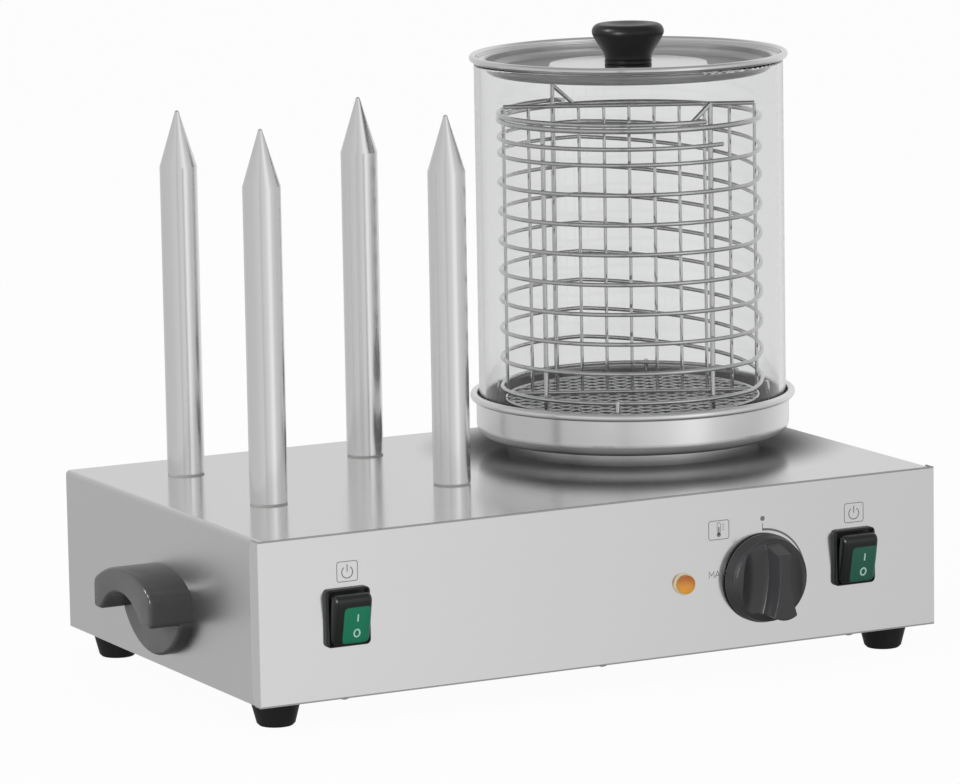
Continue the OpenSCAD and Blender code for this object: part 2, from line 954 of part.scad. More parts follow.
// Fall of the wound wire after a travel from its cut end, in degrees
function rise_share(travel, first) = max(0, min(1, (travel - first) / rise_span));
function wound_fall(travel) =
    last_rise * rise_share(travel, level_first)
    + hoop_pitch * total([for (i = [1:hoop_rises]) rise_share(travel, level_first + 360 * i)]);
function total(list, i = 0) = i == len(list) ? 0 : list[i] + total(list, i + 1);
function wound_point(i) =
    let (travel = i * ring_step, turn = cut_end_turn - travel)
    [hoop_r * cos(turn), hoop_r * sin(turn), cut_end_z - wound_fall(travel)];
function wound_ring(i) =
    let (turn = cut_end_turn - i * ring_step, p = wound_point(i))
    [for (k = [0:wire_sides - 1])
        let (a = 360 * k / wire_sides)
        p + wound_r * [cos(a) * cos(turn), cos(a) * sin(turn), sin(a)]];

module basket_winding() {
    points = [for (i = [0:wound_steps]) each wound_ring(i)];
    last = wound_steps * wire_sides;
    walls = [for (i = [0:wound_steps - 1], k = [0:wire_sides - 1])
        let (a = i * wire_sides + k, b = i * wire_sides + (k + 1) % wire_sides)
        each [[a, b, a + wire_sides], [b, b + wire_sides, a + wire_sides]]];
    start = [for (k = [1:wire_sides - 2]) [0, k + 1, k]];
    end = [for (k = [1:wire_sides - 2]) [last, last + k, last + k + 1]];
    middles = [for (i = [0:wound_steps]) wound_point(i)];
    turn_steps = 360 / ring_step;
    gaps = [for (i = [0:wound_steps - turn_steps / 2], j = [i + turn_steps / 2:wound_steps])
        norm(middles[i] - middles[j])];
    echo(least_gap_of_winding = min(gaps) - 2 * wound_r);
    color("lightgray")
        in_basket()
            polyhedron(points, concat(walls, start, end));
}

module basket_ring() {
    color("lightgray")
        in_basket()
            translate([0, 0, ring_z])
                rotate_extrude()
                    translate([hoop_r, 0])
                        circle(ring_wire_r);
}

module basket_divider() {
    pitch = 2 * divider_half / (divider_count - 1);
    color("lightgray")
        in_basket() {
            for (i = [0:divider_count - 1])
                translate([i * pitch - divider_half, 0, foot_rail_z])
                    cylinder(h = rail_z - foot_rail_z, r = divider_wire_r);
            for (z = [foot_rail_z, rail_z])
                translate([-divider_half, 0, z])
                    rotate([0, 90, 0])
                        cylinder(h = 2 * divider_half, r = rail_wire_r);
        }
}

// Upright with its top bent over into a lifting ear
module ear_upright(turn) {
    foot_turn = turn - ear_angle;
    top = ring_z + ear_h;
    apex = [upright_r * cos(turn), upright_r * sin(turn), top];
    foot = [upright_r * cos(foot_turn), upright_r * sin(foot_turn), ring_z + upright_wire_r];
    translate([apex[0], apex[1], upright_low])
        cylinder(h = top - upright_low, r = upright_wire_r);
    rod(foot, apex, upright_wire_r);
    knuckle(apex, upright_wire_r);
}

module basket_uprights() {
    color("lightgray")
        in_basket()
            for (half = [0, 180]) {
                ear_upright(ear_turn + half);
                rotate(plain_turn + half)
                    translate([upright_r, 0, upright_low])
                        cylinder(h = ring_z - upright_low, r = upright_wire_r);
            }
}

module basket_floor() {
    count = ceil(mesh_r / mesh_pitch);
    color("lightgray")
        in_basket()
            translate([0, 0, mesh_top - mesh_t])
                linear_extrude(mesh_t)
                    difference() {
                        circle(mesh_r);
                        intersection() {
                            circle(mesh_r - mesh_rim);
                            rotate(45)
                                for (ix = [-count:count], iy = [-count:count])
                                    translate([ix, iy] * mesh_pitch)
                                        square(mesh_open, center = true);
                        }
                    }
}

module basket_legs() {
    out_r = leg_r + leg_spread;
    knee = [out_r, 0, leg_knee];
    color("lightgray")
        in_basket()
            for (turn = [0:90:270])
                rotate(turn + leg_turn) {
                    rod(knee, [leg_r, 0, hoop_low + wound_r], upright_wire_r);
                    knuckle(knee, upright_wire_r);
                    translate([out_r, 0, leg_low])
                        cylinder(h = leg_knee - leg_low, r = upright_wire_r);
                }
}

module basket_bail() {
    far = hoop_r + 2 * bail_wire_r;
    color("lightgray")
        in_basket()
            translate([0, 0, bail_z])
                rotate(bail_turn + 180) {
                    intersection() {
                        rotate_extrude()
                            translate([hoop_r, 0])
                                circle(bail_wire_r);
                        translate([-far, 0, -far])
                            cube([2 * far, far, 2 * far]);
                    }
                    for (side = [-1, 1]) {
                        knuckle([side * hoop_r, 0, 0], bail_wire_r);
                        translate([side * hoop_r, 0, 0])
                            rotate([0, -side * 90, 0])
                                cylinder(h = bail_pin_in, r = bail_wire_r);
                    }
                }
}

// Thermostat and pilot lamp

module thermostat_body() {
    color("dimgray")
        on_front(dial_x, dial_z)
            difference() {
                union() {
                    translate([-thermo_w / 2, -thermo_h / 2, -sheet_t - thermo_d])
                        cube([thermo_w, thermo_h, thermo_d]);
                    translate([0, 0, -sheet_t - over])
                        cylinder(h = sheet_t + bush_out + over, r = bush_r);
                }
                translate([0, 0, -sheet_t - shaft_in])
                    cylinder(h = sheet_t + shaft_in + bush_out + over, r = shaft_r + shaft_gap);
                for (side = [-1, 1])
                    translate([side * thermo_screw_x, 0, -sheet_t - 6])
                        cylinder(h = sheet_t + 6 + over, r = screw_r + shaft_gap);
            }
}

// Round shaft with a flat on the part that carries the knob
module flatted_shaft(r, low, high, flat_low) {
    difference() {
        translate([0, 0, low])
            cylinder(h = high - low, r = r);
        translate([-r - over, r - flat_cut, flat_low])
            cube([2 * (r + over), flat_cut + over, high - flat_low + over]);
    }
}

module thermostat_shaft() {
    color("gray")
        on_front(dial_x, dial_z)
            flatted_shaft(shaft_r, -sheet_t - shaft_in + clear, shaft_out, knob_recess_out - over);
}

// Outline of the knob's grip from the front: waisted, with a round lower end
module grip_outline() {
    difference() {
        union() {
            translate([0, grip_end_y])
                circle(grip_end_r);
            span([-grip_end_r, grip_end_y], [grip_end_r, grip_foot]);
        }
        for (side = [-1, 1])
            translate([side * (waist_r + grip_half_w), waist_rise])
                circle(waist_r);
    }
}

// Bar of the grip across the knob, with a steep pointer end
module knob_grip() {
    low = face_out - 2 * scoop_dip;
    intersection() {
        rotate([90, 0, 90])
            translate([0, 0, -face_r])
                linear_extrude(2 * face_r)
                    polygon([
                        [-face_r, low], [grip_foot, low], [grip_foot, face_out],
                        [grip_top, grip_out - 0.6], [grip_top - 0.6, grip_out], [-face_r, grip_out]
                    ]);
        translate([0, 0, low])
            linear_extrude(grip_out - low)
                grip_outline();
    }
}

// Hollows scooped out of the knob's face on both sides of the bar
module knob_scoops() {
    for (side = [-1, 1])
        translate([side * (waist_r + grip_half_w), waist_rise, face_out - scoop_dip + scoop_r])
            rotate_extrude()
                translate([waist_r - scoop_in, 0])
                    circle(scoop_r);
}

// Skirt, groove and face of the knob, with a raised strip that the scoops are cut from
module knob_disc() {
    groove = 1;
    lip = 1;
    strip_h = scoop_r - scoop_dip - sqrt(pow(scoop_r, 2) - pow(scoop_in, 2));
    rotate_extrude()
        polygon([
            [0, knob_gap], [skirt_r - 0.4, knob_gap], [skirt_r, knob_gap + 0.6],
            [skirt_r, knob_gap + 2], [face_r + lip, skirt_h], [face_r - groove, skirt_h],
            [face_r - groove, skirt_h + 0.6], [face_r, skirt_h + 1], [flat_r, face_out], [0, face_out]
        ]);
    translate([0, 0, face_out - over])
        linear_extrude(over + strip_h)
            intersection() {
                circle(flat_r);
                square([2 * (grip_half_w + scoop_in), 2 * flat_r], center = true);
            }
}

module thermostat_knob() {
    color("black")
        on_front(dial_x, dial_z)
            difference() {
                union() {
                    difference() {
                        knob_disc();
                        knob_scoops();
                    }
                    knob_grip();
                }
                translate([0, 0, knob_gap - over])
                    cylinder(h = knob_recess_out - knob_gap + over, r = knob_recess_r);
                flatted_shaft(shaft_r + shaft_gap, 0, shaft_out + clear, knob_recess_out);
            }
}

module thermostat_screws() {
    color("gray")
        on_front(dial_x, dial_z)
            for (side = [-1, 1])
                translate([side * thermo_screw_x, 0, 0]) {
                    cylinder(h = screw_head_h, r = screw_head_r);
                    translate([0, 0, -sheet_t - 5])
                        cylinder(h = sheet_t + 5 + over, r = screw_r);
                }
}

module lamp_rim() {
    color("lemonchiffon")
        on_front(lamp_x, lamp_z) {
            rotate_extrude() {
                span([0, 0], [lamp_rim_r - 0.5, lamp_rim_t]);
                span([0, 0], [lamp_rim_r, lamp_rim_t - 0.5]);
                translate([lamp_rim_r - 0.5, lamp_rim_t - 0.5])
                    intersection() {
                        circle(0.5);
                        square(over);
                    }
            }
            translate([0, 0, -sheet_t - lamp_body_d])
                cylinder(h = sheet_t + lamp_body_d + lamp_rim_t / 2, r = lamp_body_r);
        }
}

module lamp_cap() {
    dome_r = 2 * lamp_cap_r;
    edge = 1.2;
    color("orange")
        on_front(lamp_x, lamp_z)
            translate([0, 0, lamp_rim_t])
                rotate_extrude()
                    intersection() {
                        union() {
                            span([0, 0], [lamp_cap_r, lamp_cap_out - lamp_rim_t - edge]);
                            span([0, 0], [lamp_cap_r - edge, lamp_cap_out - lamp_rim_t]);
                            translate([lamp_cap_r - edge, lamp_cap_out - lamp_rim_t - edge])
                                circle(edge);
                        }
                        translate([0, lamp_cap_out - lamp_rim_t - dome_r])
                            circle(dome_r);
                        span([0, 0], [lamp_cap_r, lamp_cap_out]);
                    }
}

// Switches

module switch_frame(side) {
    color("black")
        on_front(side * switch_x + switch_shift, switch_z)
            difference() {
                union() {
                    linear_extrude(frame_t - 1)
                        rounded_rect(frame_w, frame_h, frame_corner);
                    linear_extrude(frame_t)
                        rounded_rect(frame_w - 1, frame_h - 1.6, frame_corner - 0.4);
                }
                translate([0, 0, -over])
                    linear_extrude(frame_t + 2 * over)
                        square([frame_open_w, frame_open_h], center = true);
                translate([-rocker_w / 2 - pivot_l - pivot_gap, 0, pivot_out])
                    rotate([0, 90, 0])
                        cylinder(h = rocker_w + 2 * (pivot_l + pivot_gap), r = pivot_r + pivot_gap);
            }
}

module switch_body(side) {
    color("dimgray")
        on_front(side * switch_x + switch_shift, switch_z) {
            translate([0, 0, -switch_body_d])
                linear_extrude(switch_body_d)
                    square([cutout_w - 2 * clear, cutout_h - 2 * clear], center = true);
            for (i = [-1, 0, 1])
                translate([-3, i * 9 - 0.4, -switch_body_d - 8])
                    cube([6, 0.8, 8 + over]);
        }
}

// Section of the rocker before it is tilted, about its pivot
module rocker_section() {
    half = rocker_h / 2;
    low = pivot_out - clear;
    face = rocker_out - pivot_out;
    heel = half * tan(rocker_tilt) - low + 0.3;
    intersection() {
        polygon([[-half, heel], [0, -low + 0.2], [half, heel], [half, face], [-half, face]]);
        union() {
            span([-half, -low], [half, face - rocker_round]);
            span([-half + rocker_round, -low], [half - rocker_round, face]);
            for (end = [-1, 1])
                translate([end * (half - rocker_round), face - rocker_round])
                    circle(rocker_round);
        }
    }
}

// Places children in the rocker's own tilted frame: +Y up, +Z out, pivot at the origin
module on_rocker(side) {
    on_front(side * switch_x + switch_shift, switch_z)
        translate([0, 0, pivot_out])
            rotate([rocker_tilt, 0, 0])
                children();
}

module switch_rocker(side) {
    face = rocker_out - pivot_out;
    color("black")
        on_rocker(side)
            difference() {
                union() {
                    rotate([90, 0, 90])
                        translate([0, 0, -rocker_w / 2])
                            linear_extrude(rocker_w)
                                rocker_section();
                    rotate([0, 90, 0])
                        translate([0, 0, -rocker_w / 2 - pivot_l])
                            cylinder(h = rocker_w + 2 * pivot_l, r = pivot_r);
                }
                translate([0, 0, face - 1])
                    linear_extrude(over + 1)
                        rounded_rect(lens_w, lens_h, 3);
            }
}

module switch_lens(side) {
    face = rocker_out - pivot_out;
    color("green")
        on_rocker(side)
            translate([0, 0, face - 1])
                linear_extrude(1 + lens_proud)
                    rounded_rect(lens_w - 2 * shaft_gap, lens_h - 2 * shaft_gap, 3 - shaft_gap);
}

module left_switch_frame() {
    switch_frame(-1);
}

module left_switch_body() {
    switch_body(-1);
}

module left_switch_rocker() {
    switch_rocker(-1);
}

module left_switch_lens() {
    switch_lens(-1);
}

module right_switch_frame() {
    switch_frame(1);
}

module right_switch_body() {
    switch_body(1);
}

module right_switch_rocker() {
    switch_rocker(1);
}

module right_switch_lens() {
    switch_lens(1);
}

// Side handles

// Outline of the hooked grip seen from the side; local +X to the front
module hook_section() {
    rear = grip_front - grip_l;
    difference() {
        intersection() {
            translate([-hook_x, hook_top - hook_r])
                circle(hook_r);
            union() {
                span([rear, hook_low], [grip_front, hook_shoulder - hook_corner]);
                span([rear + hook_corner, hook_low], [grip_front - hook_corner, hook_top]);
                for (x = [rear + hook_corner, grip_front - hook_corner])
                    translate([x, hook_shoulder - hook_corner])
                        circle(hook_corner);
            }
        }
        translate([-arch_x, arch_top - arch_r])
            circle(arch_r);
    }
}

// Outline of the base: a round lower edge, and a top that lies within the grip
module handle_base_section() {
    intersection() {
        translate([grip_front - grip_l / 2, rosette_r - rosette_drop])
            circle(rosette_r);
        span([grip_front - grip_l + end_inset, -2 * rosette_drop], [grip_front - end_inset, base_top]);
    }
}

module left_handle() {
    color("black")
        on_left(handle_z)
            difference() {
                union() {
                    linear_extrude(rosette_t)
                        handle_base_section();
                    linear_extrude(grip_reach)
                        hook_section();
                }
                for (y = [-1, 1])
                    translate([y * handle_screw_y, 0, -over])
                        cylinder(h = handle_screw_l + over, r = handle_screw_r + shaft_gap);
            }
}

module right_handle() {
    mirror([1, 0, 0])
        left_handle();
}

module handle_screws() {
    color("gray")
        for (side = [0, 1])
            mirror([side, 0, 0])
                on_left(handle_z)
                    for (y = [-1, 1])
                        translate([y * handle_screw_y, 0, -sheet_t]) {
                            translate([0, 0, -screw_head_h])
                                cylinder(h = screw_head_h, r = screw_head_r);
                            cylinder(h = sheet_t + handle_screw_l - 1, r = handle_screw_r);
                        }
}

// Rear cable entry and terminals

module cable_gland() {
    neck = gland_out - gland_hex_t;
    color("dimgray")
        on_rear(gland_x, gland_z)
            difference() {
                union() {
                    cylinder(h = gland_hex_t, r = gland_hex_r, $fn = 6);
                    rotate_extrude()
                        polygon([
                            [0, gland_hex_t - over], [gland_thread_r + 1.5, gland_hex_t - over],
                            [gland_thread_r + 1.5, gland_hex_t + neck * 0.6],
                            [gland_bore_r + 2.5, gland_out], [0, gland_out]
                        ]);
                    translate([0, 0, -sheet_t - gland_in])
                        cylinder(h = sheet_t + gland_in + over, r = gland_thread_r);
                }
                translate([0, 0, -sheet_t - gland_in - over])
                    cylinder(h = sheet_t + gland_in + gland_out + 2 * over, r = gland_bore_r);
            }
}

module gland_nut() {
    color("dimgray")
        on_rear(gland_x, gland_z)
            translate([0, 0, -sheet_t - gland_nut_t])
                nut(gland_hex_r + 1, gland_nut_t, gland_thread_r + shaft_gap);
}

module terminal_block() {
    ways = 3;
    way_w = block_w / ways;
    color("whitesmoke")
        translate([gland_x - block_w / 2, rear_y - 3 * block_d, base_z + sheet_t])
            difference() {
                cube([block_w, block_d, block_h]);
                for (i = [1:ways - 1])
                    translate([i * way_w - 1, -over, block_h * 0.55])
                        cube([2, block_d + 2 * over, block_h]);
                for (i = [0:ways - 1], y = [0.28, 0.72])
                    translate([(i + 0.5) * way_w, y * block_d, block_h * 0.6])
                        cylinder(h = block_h, r = 2.6);
            }
}

housing_shell();
front_panel();
rear_panel();
base_plate();
base_screws();
foot_front_left();
foot_front_right();
foot_rear_left();
foot_rear_right();
foot_screws();
foot_nuts();
spike_front_left();
spike_front_right();
spike_rear_left();
spike_rear_right();
spike_gaskets();
spike_nuts();
spike_heaters();
water_pan();
pan_heater();
heater_bracket();
pan_stud();
pan_nut();
sensor_bulb();
glass_cylinder();
lid();
lid_knob();
lid_knob_screw();
basket_ring();
basket_winding();
basket_divider();
basket_uprights();
basket_floor();
basket_legs();
basket_bail();
thermostat_body();
thermostat_shaft();
thermostat_knob();
thermostat_screws();
lamp_rim();
lamp_cap();
left_switch_frame();
left_switch_body();
left_switch_rocker();
left_switch_lens();
right_switch_frame();
right_switch_body();
right_switch_rocker();
right_switch_lens();
left_handle();
right_handle();
handle_screws();
cable_gland();
gland_nut();
terminal_block();
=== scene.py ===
"""Hot dog maker: finishes, wire basket, mouldings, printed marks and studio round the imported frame.

Sizes are in metres in the frame's own axes: X to the right, Y to the rear and Z up.
"""

import json
import logging
import math
from dataclasses import dataclass, field, replace
from enum import Enum
from typing import Any, Optional, Sequence

import bmesh
import bpy
from mathutils import Matrix, Vector


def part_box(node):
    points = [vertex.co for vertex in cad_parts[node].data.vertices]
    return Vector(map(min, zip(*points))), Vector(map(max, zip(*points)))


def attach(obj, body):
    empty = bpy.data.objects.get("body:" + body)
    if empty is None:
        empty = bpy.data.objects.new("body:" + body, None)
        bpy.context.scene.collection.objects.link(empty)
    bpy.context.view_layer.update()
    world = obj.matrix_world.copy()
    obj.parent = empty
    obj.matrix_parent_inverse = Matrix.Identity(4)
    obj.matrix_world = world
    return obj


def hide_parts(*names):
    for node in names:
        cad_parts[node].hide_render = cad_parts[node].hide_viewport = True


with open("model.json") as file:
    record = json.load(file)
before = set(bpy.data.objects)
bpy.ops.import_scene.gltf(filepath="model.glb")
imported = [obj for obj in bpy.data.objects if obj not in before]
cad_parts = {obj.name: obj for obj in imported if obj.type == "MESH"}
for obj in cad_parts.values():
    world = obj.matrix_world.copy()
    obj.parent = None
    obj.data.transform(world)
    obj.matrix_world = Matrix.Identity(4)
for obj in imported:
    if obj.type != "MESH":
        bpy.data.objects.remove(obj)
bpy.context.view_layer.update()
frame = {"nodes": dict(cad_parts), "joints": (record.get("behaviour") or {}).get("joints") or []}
NODES: dict[str, bpy.types.Object] = frame["nodes"]
LOG = logging.getLogger("hot_dog_maker")
MM = 0.001
EDGE = 0.2 * MM
SIDEWAYS = Vector((1, 0, 0))
UPWARDS = Vector((0, 0, 1))

Colour = tuple[float, float, float]
Point2 = tuple[float, float]
Point3 = tuple[float, float, float]


def middle(node: str) -> Vector:
    """Returns the middle of a CAD node's box."""
    low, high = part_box(node)
    return (low + high) / 2


def joint_place(name: str) -> Vector:
    """Returns the place of a joint of the record."""
    joint = next(j for j in frame["joints"] if j["name"] == name)
    return Vector(joint["pos_m"])


class Signal:
    """A node's output that takes part in Python arithmetic."""

    def __init__(self, sheet: "Sheet", socket: bpy.types.NodeSocket) -> None:
        """Keeps the sheet that adds nodes and the wrapped socket."""
        self.sheet = sheet
        self.socket = socket

    def _math(self, operation: str, first: Any, second: Any) -> "Signal":
        """Adds one Math node.

        Args:
            operation: The Math node's operation.
            first: First operand, a signal or a number.
            second: Second operand, a signal or a number.

        Returns:
            The node's result.
        """
        return self.sheet.signal("ShaderNodeMath", {"operation": operation}, {0: first, 1: second})

    def __add__(self, other: Any) -> "Signal":
        """Returns self + other."""
        return self._math("ADD", self, other)

    def __radd__(self, other: Any) -> "Signal":
        """Returns other + self."""
        return self._math("ADD", other, self)

    def __sub__(self, other: Any) -> "Signal":
        """Returns self - other."""
        return self._math("SUBTRACT", self, other)

    def __rsub__(self, other: Any) -> "Signal":
        """Returns other - self."""
        return self._math("SUBTRACT", other, self)

    def __mul__(self, other: Any) -> "Signal":
        """Returns self * other."""
        return self._math("MULTIPLY", self, other)

    def __rmul__(self, other: Any) -> "Signal":
        """Returns other * self."""
        return self._math("MULTIPLY", other, self)

    def __truediv__(self, other: Any) -> "Signal":
        """Returns self / other."""
        return self._math("DIVIDE", self, other)

    def __pow__(self, other: Any) -> "Signal":
        """Returns self to the power of other."""
        return self._math("POWER", self, other)

    def __gt__(self, other: Any) -> "Signal":
        """Returns 1 where self is greater than other, else 0."""
        return self._math("GREATER_THAN", self, other)

    def angle_from(self, other: "Signal") -> "Signal":
        """Returns the angle whose sine goes with self and cosine with other."""
        return self._math("ARCTAN2", self, other)

    def larger(self, other: Any) -> "Signal":
        """Returns the larger of self and other."""
        return self._math("MAXIMUM", self, other)


class Sheet:
    """The node tree of one material or of the world."""

    def __init__(self, tree: bpy.types.NodeTree) -> None:
        """Takes an empty tree."""
        self.tree = tree
        tree.nodes.clear()

    def add(self, kind: str, settings: Optional[dict] = None,
            sockets: Optional[dict] = None) -> bpy.types.Node:
        """Adds one node.

        Args:
            kind: The node's type.
            settings: Properties set first; "stops" holds a ramp's places and colours.
            sockets: Values or signals by the input's name or number.

        Returns:
            The new node.
        """
        node = self.tree.nodes.new(kind)
        for name, value in (settings or {}).items():
            if name == "stops":
                self._set_stops(node.color_ramp, value)
            else:
                setattr(node, name, value)
        for name, value in (sockets or {}).items():
            if isinstance(value, Signal):
                self.tree.links.new(value.socket, node.inputs[name])
            else:
                node.inputs[name].default_value = value
        return node

    @staticmethod
    def _set_stops(ramp: bpy.types.ColorRamp, stops: Sequence[tuple[float, Colour]]) -> None:
        """Gives a ramp these places and colours."""
        while len(ramp.elements) < len(stops):
            ramp.elements.new(1.0)
        for element, (place, colour) in zip(ramp.elements, stops):
            element.position = place
            element.color = (*colour, 1.0)

    def signal(self, kind: str, settings: Optional[dict] = None, sockets: Optional[dict] = None,
               output: Any = 0) -> Signal:
        """Adds one node and returns one of its outputs.

        Args:
            kind: The node's type.
            settings: As for add.
            sockets: As for add.
            output: Name or number of the output.

        Returns:
            The output as a signal.
        """
        return Signal(self, self.add(kind, settings, sockets).outputs[output])

    def place(self, centre: Point3 = (0, 0, 0), stretch: Point3 = (1, 1, 1)) -> Signal:
        """Returns object coordinates measured from a centre and multiplied by stretch."""
        coords = self.signal("ShaderNodeTexCoord", output="Object")
        moved = self.signal("ShaderNodeVectorMath", {"operation": "SUBTRACT"}, {0: coords, 1: centre})
        return self.signal("ShaderNodeMapping", {"vector_type": "POINT"}, {"Vector": moved, "Scale": stretch})

    def reach(self, centre: Point2) -> Signal:
        """Returns the distance from an upright axis."""
        x, y, _ = self.split(self.place((*centre, 0)))
        return (x * x + y * y) ** 0.5

    def split(self, vector: Signal) -> tuple[Signal, Signal, Signal]:
        """Returns the three parts of a vector."""
        node = self.add("ShaderNodeSeparateXYZ", None, {0: vector})
        return tuple(Signal(self, node.outputs[i]) for i in range(3))

    def join(self, x: Any, y: Any, z: Any) -> Signal:
        """Returns a vector of three values."""
        return self.signal("ShaderNodeCombineXYZ", None, {0: x, 1: y, 2: z})

    def noise(self, vector: Signal, scale: float, detail: float = 2.0) -> Signal:
        """Returns noise between 0 and 1 over a vector."""
        return self.signal("ShaderNodeTexNoise", {"noise_dimensions": "3D"},
                           {"Vector": vector, "Scale": scale, "Detail": detail, "Roughness": 0.55})

    def ranged(self, value: Signal, low: float, high: float, to_low: float = 0.0,
               to_high: float = 1.0) -> Signal:
        """Returns a value carried smoothly from one range to another and held at its ends."""
        ends = {"From Min": low, "From Max": high, "To Min": to_low, "To Max": to_high}
        return self.signal("ShaderNodeMapRange", {"interpolation_type": "SMOOTHSTEP", "clamp": True},
                           {"Value": value, **ends})

    def tint(self, share: Any, first: Any, second: Any) -> Signal:
        """Returns the mix of two colours."""
        colours = [c if isinstance(c, Signal) else (*c, 1.0) for c in (first, second)]
        return self.signal("ShaderNodeMix", {"data_type": "RGBA", "blend_type": "MIX"},
                           {0: share, 6: colours[0], 7: colours[1]}, output=2)

    def bump(self, height: Signal, depth: float) -> Signal:
        """Returns a normal disturbed by a height; depth is in metres."""
        return self.signal("ShaderNodeBump", None, {"Height": height, "Strength": 1.0, "Distance": depth})

    def surface(self, sockets: dict) -> None:
        """Ends the sheet in one Principled surface with these inputs."""
        shader = self.signal("ShaderNodeBsdfPrincipled", None, sockets)
        self.add("ShaderNodeOutputMaterial", None, {"Surface": shader})


@dataclass(frozen=True)
class Finish:
    """A named surface whose material is made once and then shared."""

    name: str

    def material(self) -> bpy.types.Material:
        """Returns the finish's material, made at the first call."""
        title = f"{self.name}_finish"
        made = bpy.data.materials.get(title)
        if made is None:
            made = bpy.data.materials.new(title)
            made.use_nodes = True
            self.draw(Sheet(made.node_tree))
        return made

    def draw(self, sheet: Sheet) -> None:
        """Draws the finish's nodes."""
        raise NotImplementedError


class Grain(Enum):
    """Ways that a metal surface was worked."""

    ALONG_X = "brushed from side to side"
    ALONG_Y = "brushed from front to rear"
    TURNED = "turned about an upright axis"
    CAST = "left as cast or plated"


@dataclass(frozen=True)
class Metal(Finish):
    """Bare or plated metal with the marks of its working."""

    colour: Colour = (0.8, 0.8, 0.8)
    roughness: float = 0.2
    grain: Grain = Grain.CAST
    lines: float = 900.0
    depth: float = 2e-6
    spread: float = 0.06
    centre: Point2 = (0.0, 0.0)
    tone: float = 0.988
    # Flat dark colour that painted shade turns the metal to
    painted_shade_colour: Colour = (0.10, 0.10, 0.10)
    streak: float = 0.012
    swirl: float = 0.6
    cloud_scale: float = 14.0
    cloud_share: float = 0.7
    least_roughness: float = 0.02

    def base_roughness(self, sheet: Sheet) -> Any:
        """Returns the roughness before the working's marks, a number or a signal."""
        return self.roughness

    def pattern(self, sheet: Sheet) -> Signal:
        """Returns the fine pattern left by the working, between 0 and 1."""
        lines, along = self.lines, self.lines * self.streak
        if self.grain is Grain.TURNED:
            x, y, z = sheet.split(sheet.place((*self.centre, 0)))
            reach = (x * x + y * y) ** 0.5
            rings = sheet.join(reach * lines, y.angle_from(x) * self.swirl, z * lines)
            return sheet.noise(rings, 1.0, 3.0)
        stretch = {
            Grain.ALONG_X: (along, lines, lines),
            Grain.ALONG_Y: (lines, along, lines),
            Grain.CAST: (lines, lines, lines),
        }[self.grain]
        return sheet.noise(sheet.place(stretch=stretch), 1.0, 3.0)

    def painted_shade_and_wear(self, sheet: Sheet) -> Any:
        """Returns the share of painted shade laid over the metal, from 0 to 1."""
        return 0.0

    def draw(self, sheet: Sheet) -> None:
        """Draws worked metal: streaks in colour, roughness and height, broad cloudiness, and painted shade where
        a subclass lays it.
        """
        fine = self.pattern(sheet)
        cloud = sheet.noise(sheet.place(), self.cloud_scale, 3.0)
        dull = tuple(self.tone * part for part in self.colour)
        uneven = (fine - 0.5) * self.spread
        rough = self.base_roughness(sheet) + uneven + (cloud - 0.5) * (self.spread * self.cloud_share)
        # Painted shade: where a subclass lays it, the metal turns towards a flat dark colour and becomes less
        # metallic
        painted_shade_and_wear = self.painted_shade_and_wear(sheet)
        clean = sheet.tint(sheet.ranged(fine, 0.3, 0.7), dull, self.colour)
        sheet.surface({
            "Base Color": sheet.tint(painted_shade_and_wear, clean, self.painted_shade_colour),
            "Metallic": 1.0 - painted_shade_and_wear,
            "Specular IOR Level": 0.0,
            "Roughness": rough.larger(self.least_roughness),
            "Normal": sheet.bump(fine, self.depth),
        })


@dataclass(frozen=True)
class LidSteel(Metal):
    """Spun steel whose sunken ring carries painted shade, darker than its plateau and its bead, standing for the
    lid's own walls mirrored in it.
    """

    plateau_r: float = 55 * MM
    ring_r: float = 94.3 * MM
    share: float = 0.42

    def painted_shade_and_wear(self, sheet: Sheet) -> Any:
        """Returns the share of painted shade on the sunken ring and its walls."""
        # Painted shade: a darker ring standing for the reflection of the lid's own walls
        reach = sheet.reach(self.centre)
        past = sheet.ranged(reach, self.plateau_r - EDGE, self.plateau_r + 2 * EDGE)
        within = sheet.ranged(reach, self.ring_r + 2 * EDGE, self.ring_r - EDGE)
        return past * within * self.share


@dataclass(frozen=True)
class ShadedPanSteel(Metal):
    """Spun steel with painted shade round its lower corner, where pan and deck shade each other, and over its
    inside.
    """

    corner_z: float = 0.0
    corner_h: float = 8 * MM
    corner_shade: float = 0.85
    wall_r: float = 102.4 * MM
    inside_shade: float = 0.55
    drift_scale: float = 30.0
    drift: float = 0.15

    def painted_shade_and_wear(self, sheet: Sheet) -> Any:
        """Returns the share of painted shade on the lower corner and on the inside."""
        # Painted shade on the pan's lower corner and on its inside
        _, _, z = sheet.split(sheet.place((0, 0, self.corner_z)))
        drift = (sheet.noise(sheet.place(), self.drift_scale) - 0.5) * self.drift
        corner = sheet.ranged(z / self.corner_h + drift, 0.75, 0.15) * self.corner_shade
        above = sheet.ranged(z / self.corner_h, -0.15, 0.0)
        reach = sheet.reach(self.centre)
        inside = sheet.ranged(reach, self.wall_r + EDGE, self.wall_r - EDGE) * self.inside_shade
        return corner.larger(inside) * above


@dataclass(frozen=True)
class FoldedSteel(Metal):
    """Sheet steel with painted shade along its folded upper and lower edges."""

    low_z: float = 0.0
    high_z: float = 0.0
    fold: float = 0.9 * MM
    share: float = 0.6

    def painted_shade_and_wear(self, sheet: Sheet) -> Any:
        """Returns the share of painted shade along both folds."""
        # Painted shade along the upper and lower folds
        _, _, z = sheet.split(sheet.place())
        start, full = 1.3 * self.fold, 0.9 * self.fold
        upper = sheet.ranged(z, self.high_z - start, self.high_z - full)
        lower = sheet.ranged(z, self.low_z + start, self.low_z + full)
        return upper.larger(lower) * self.share


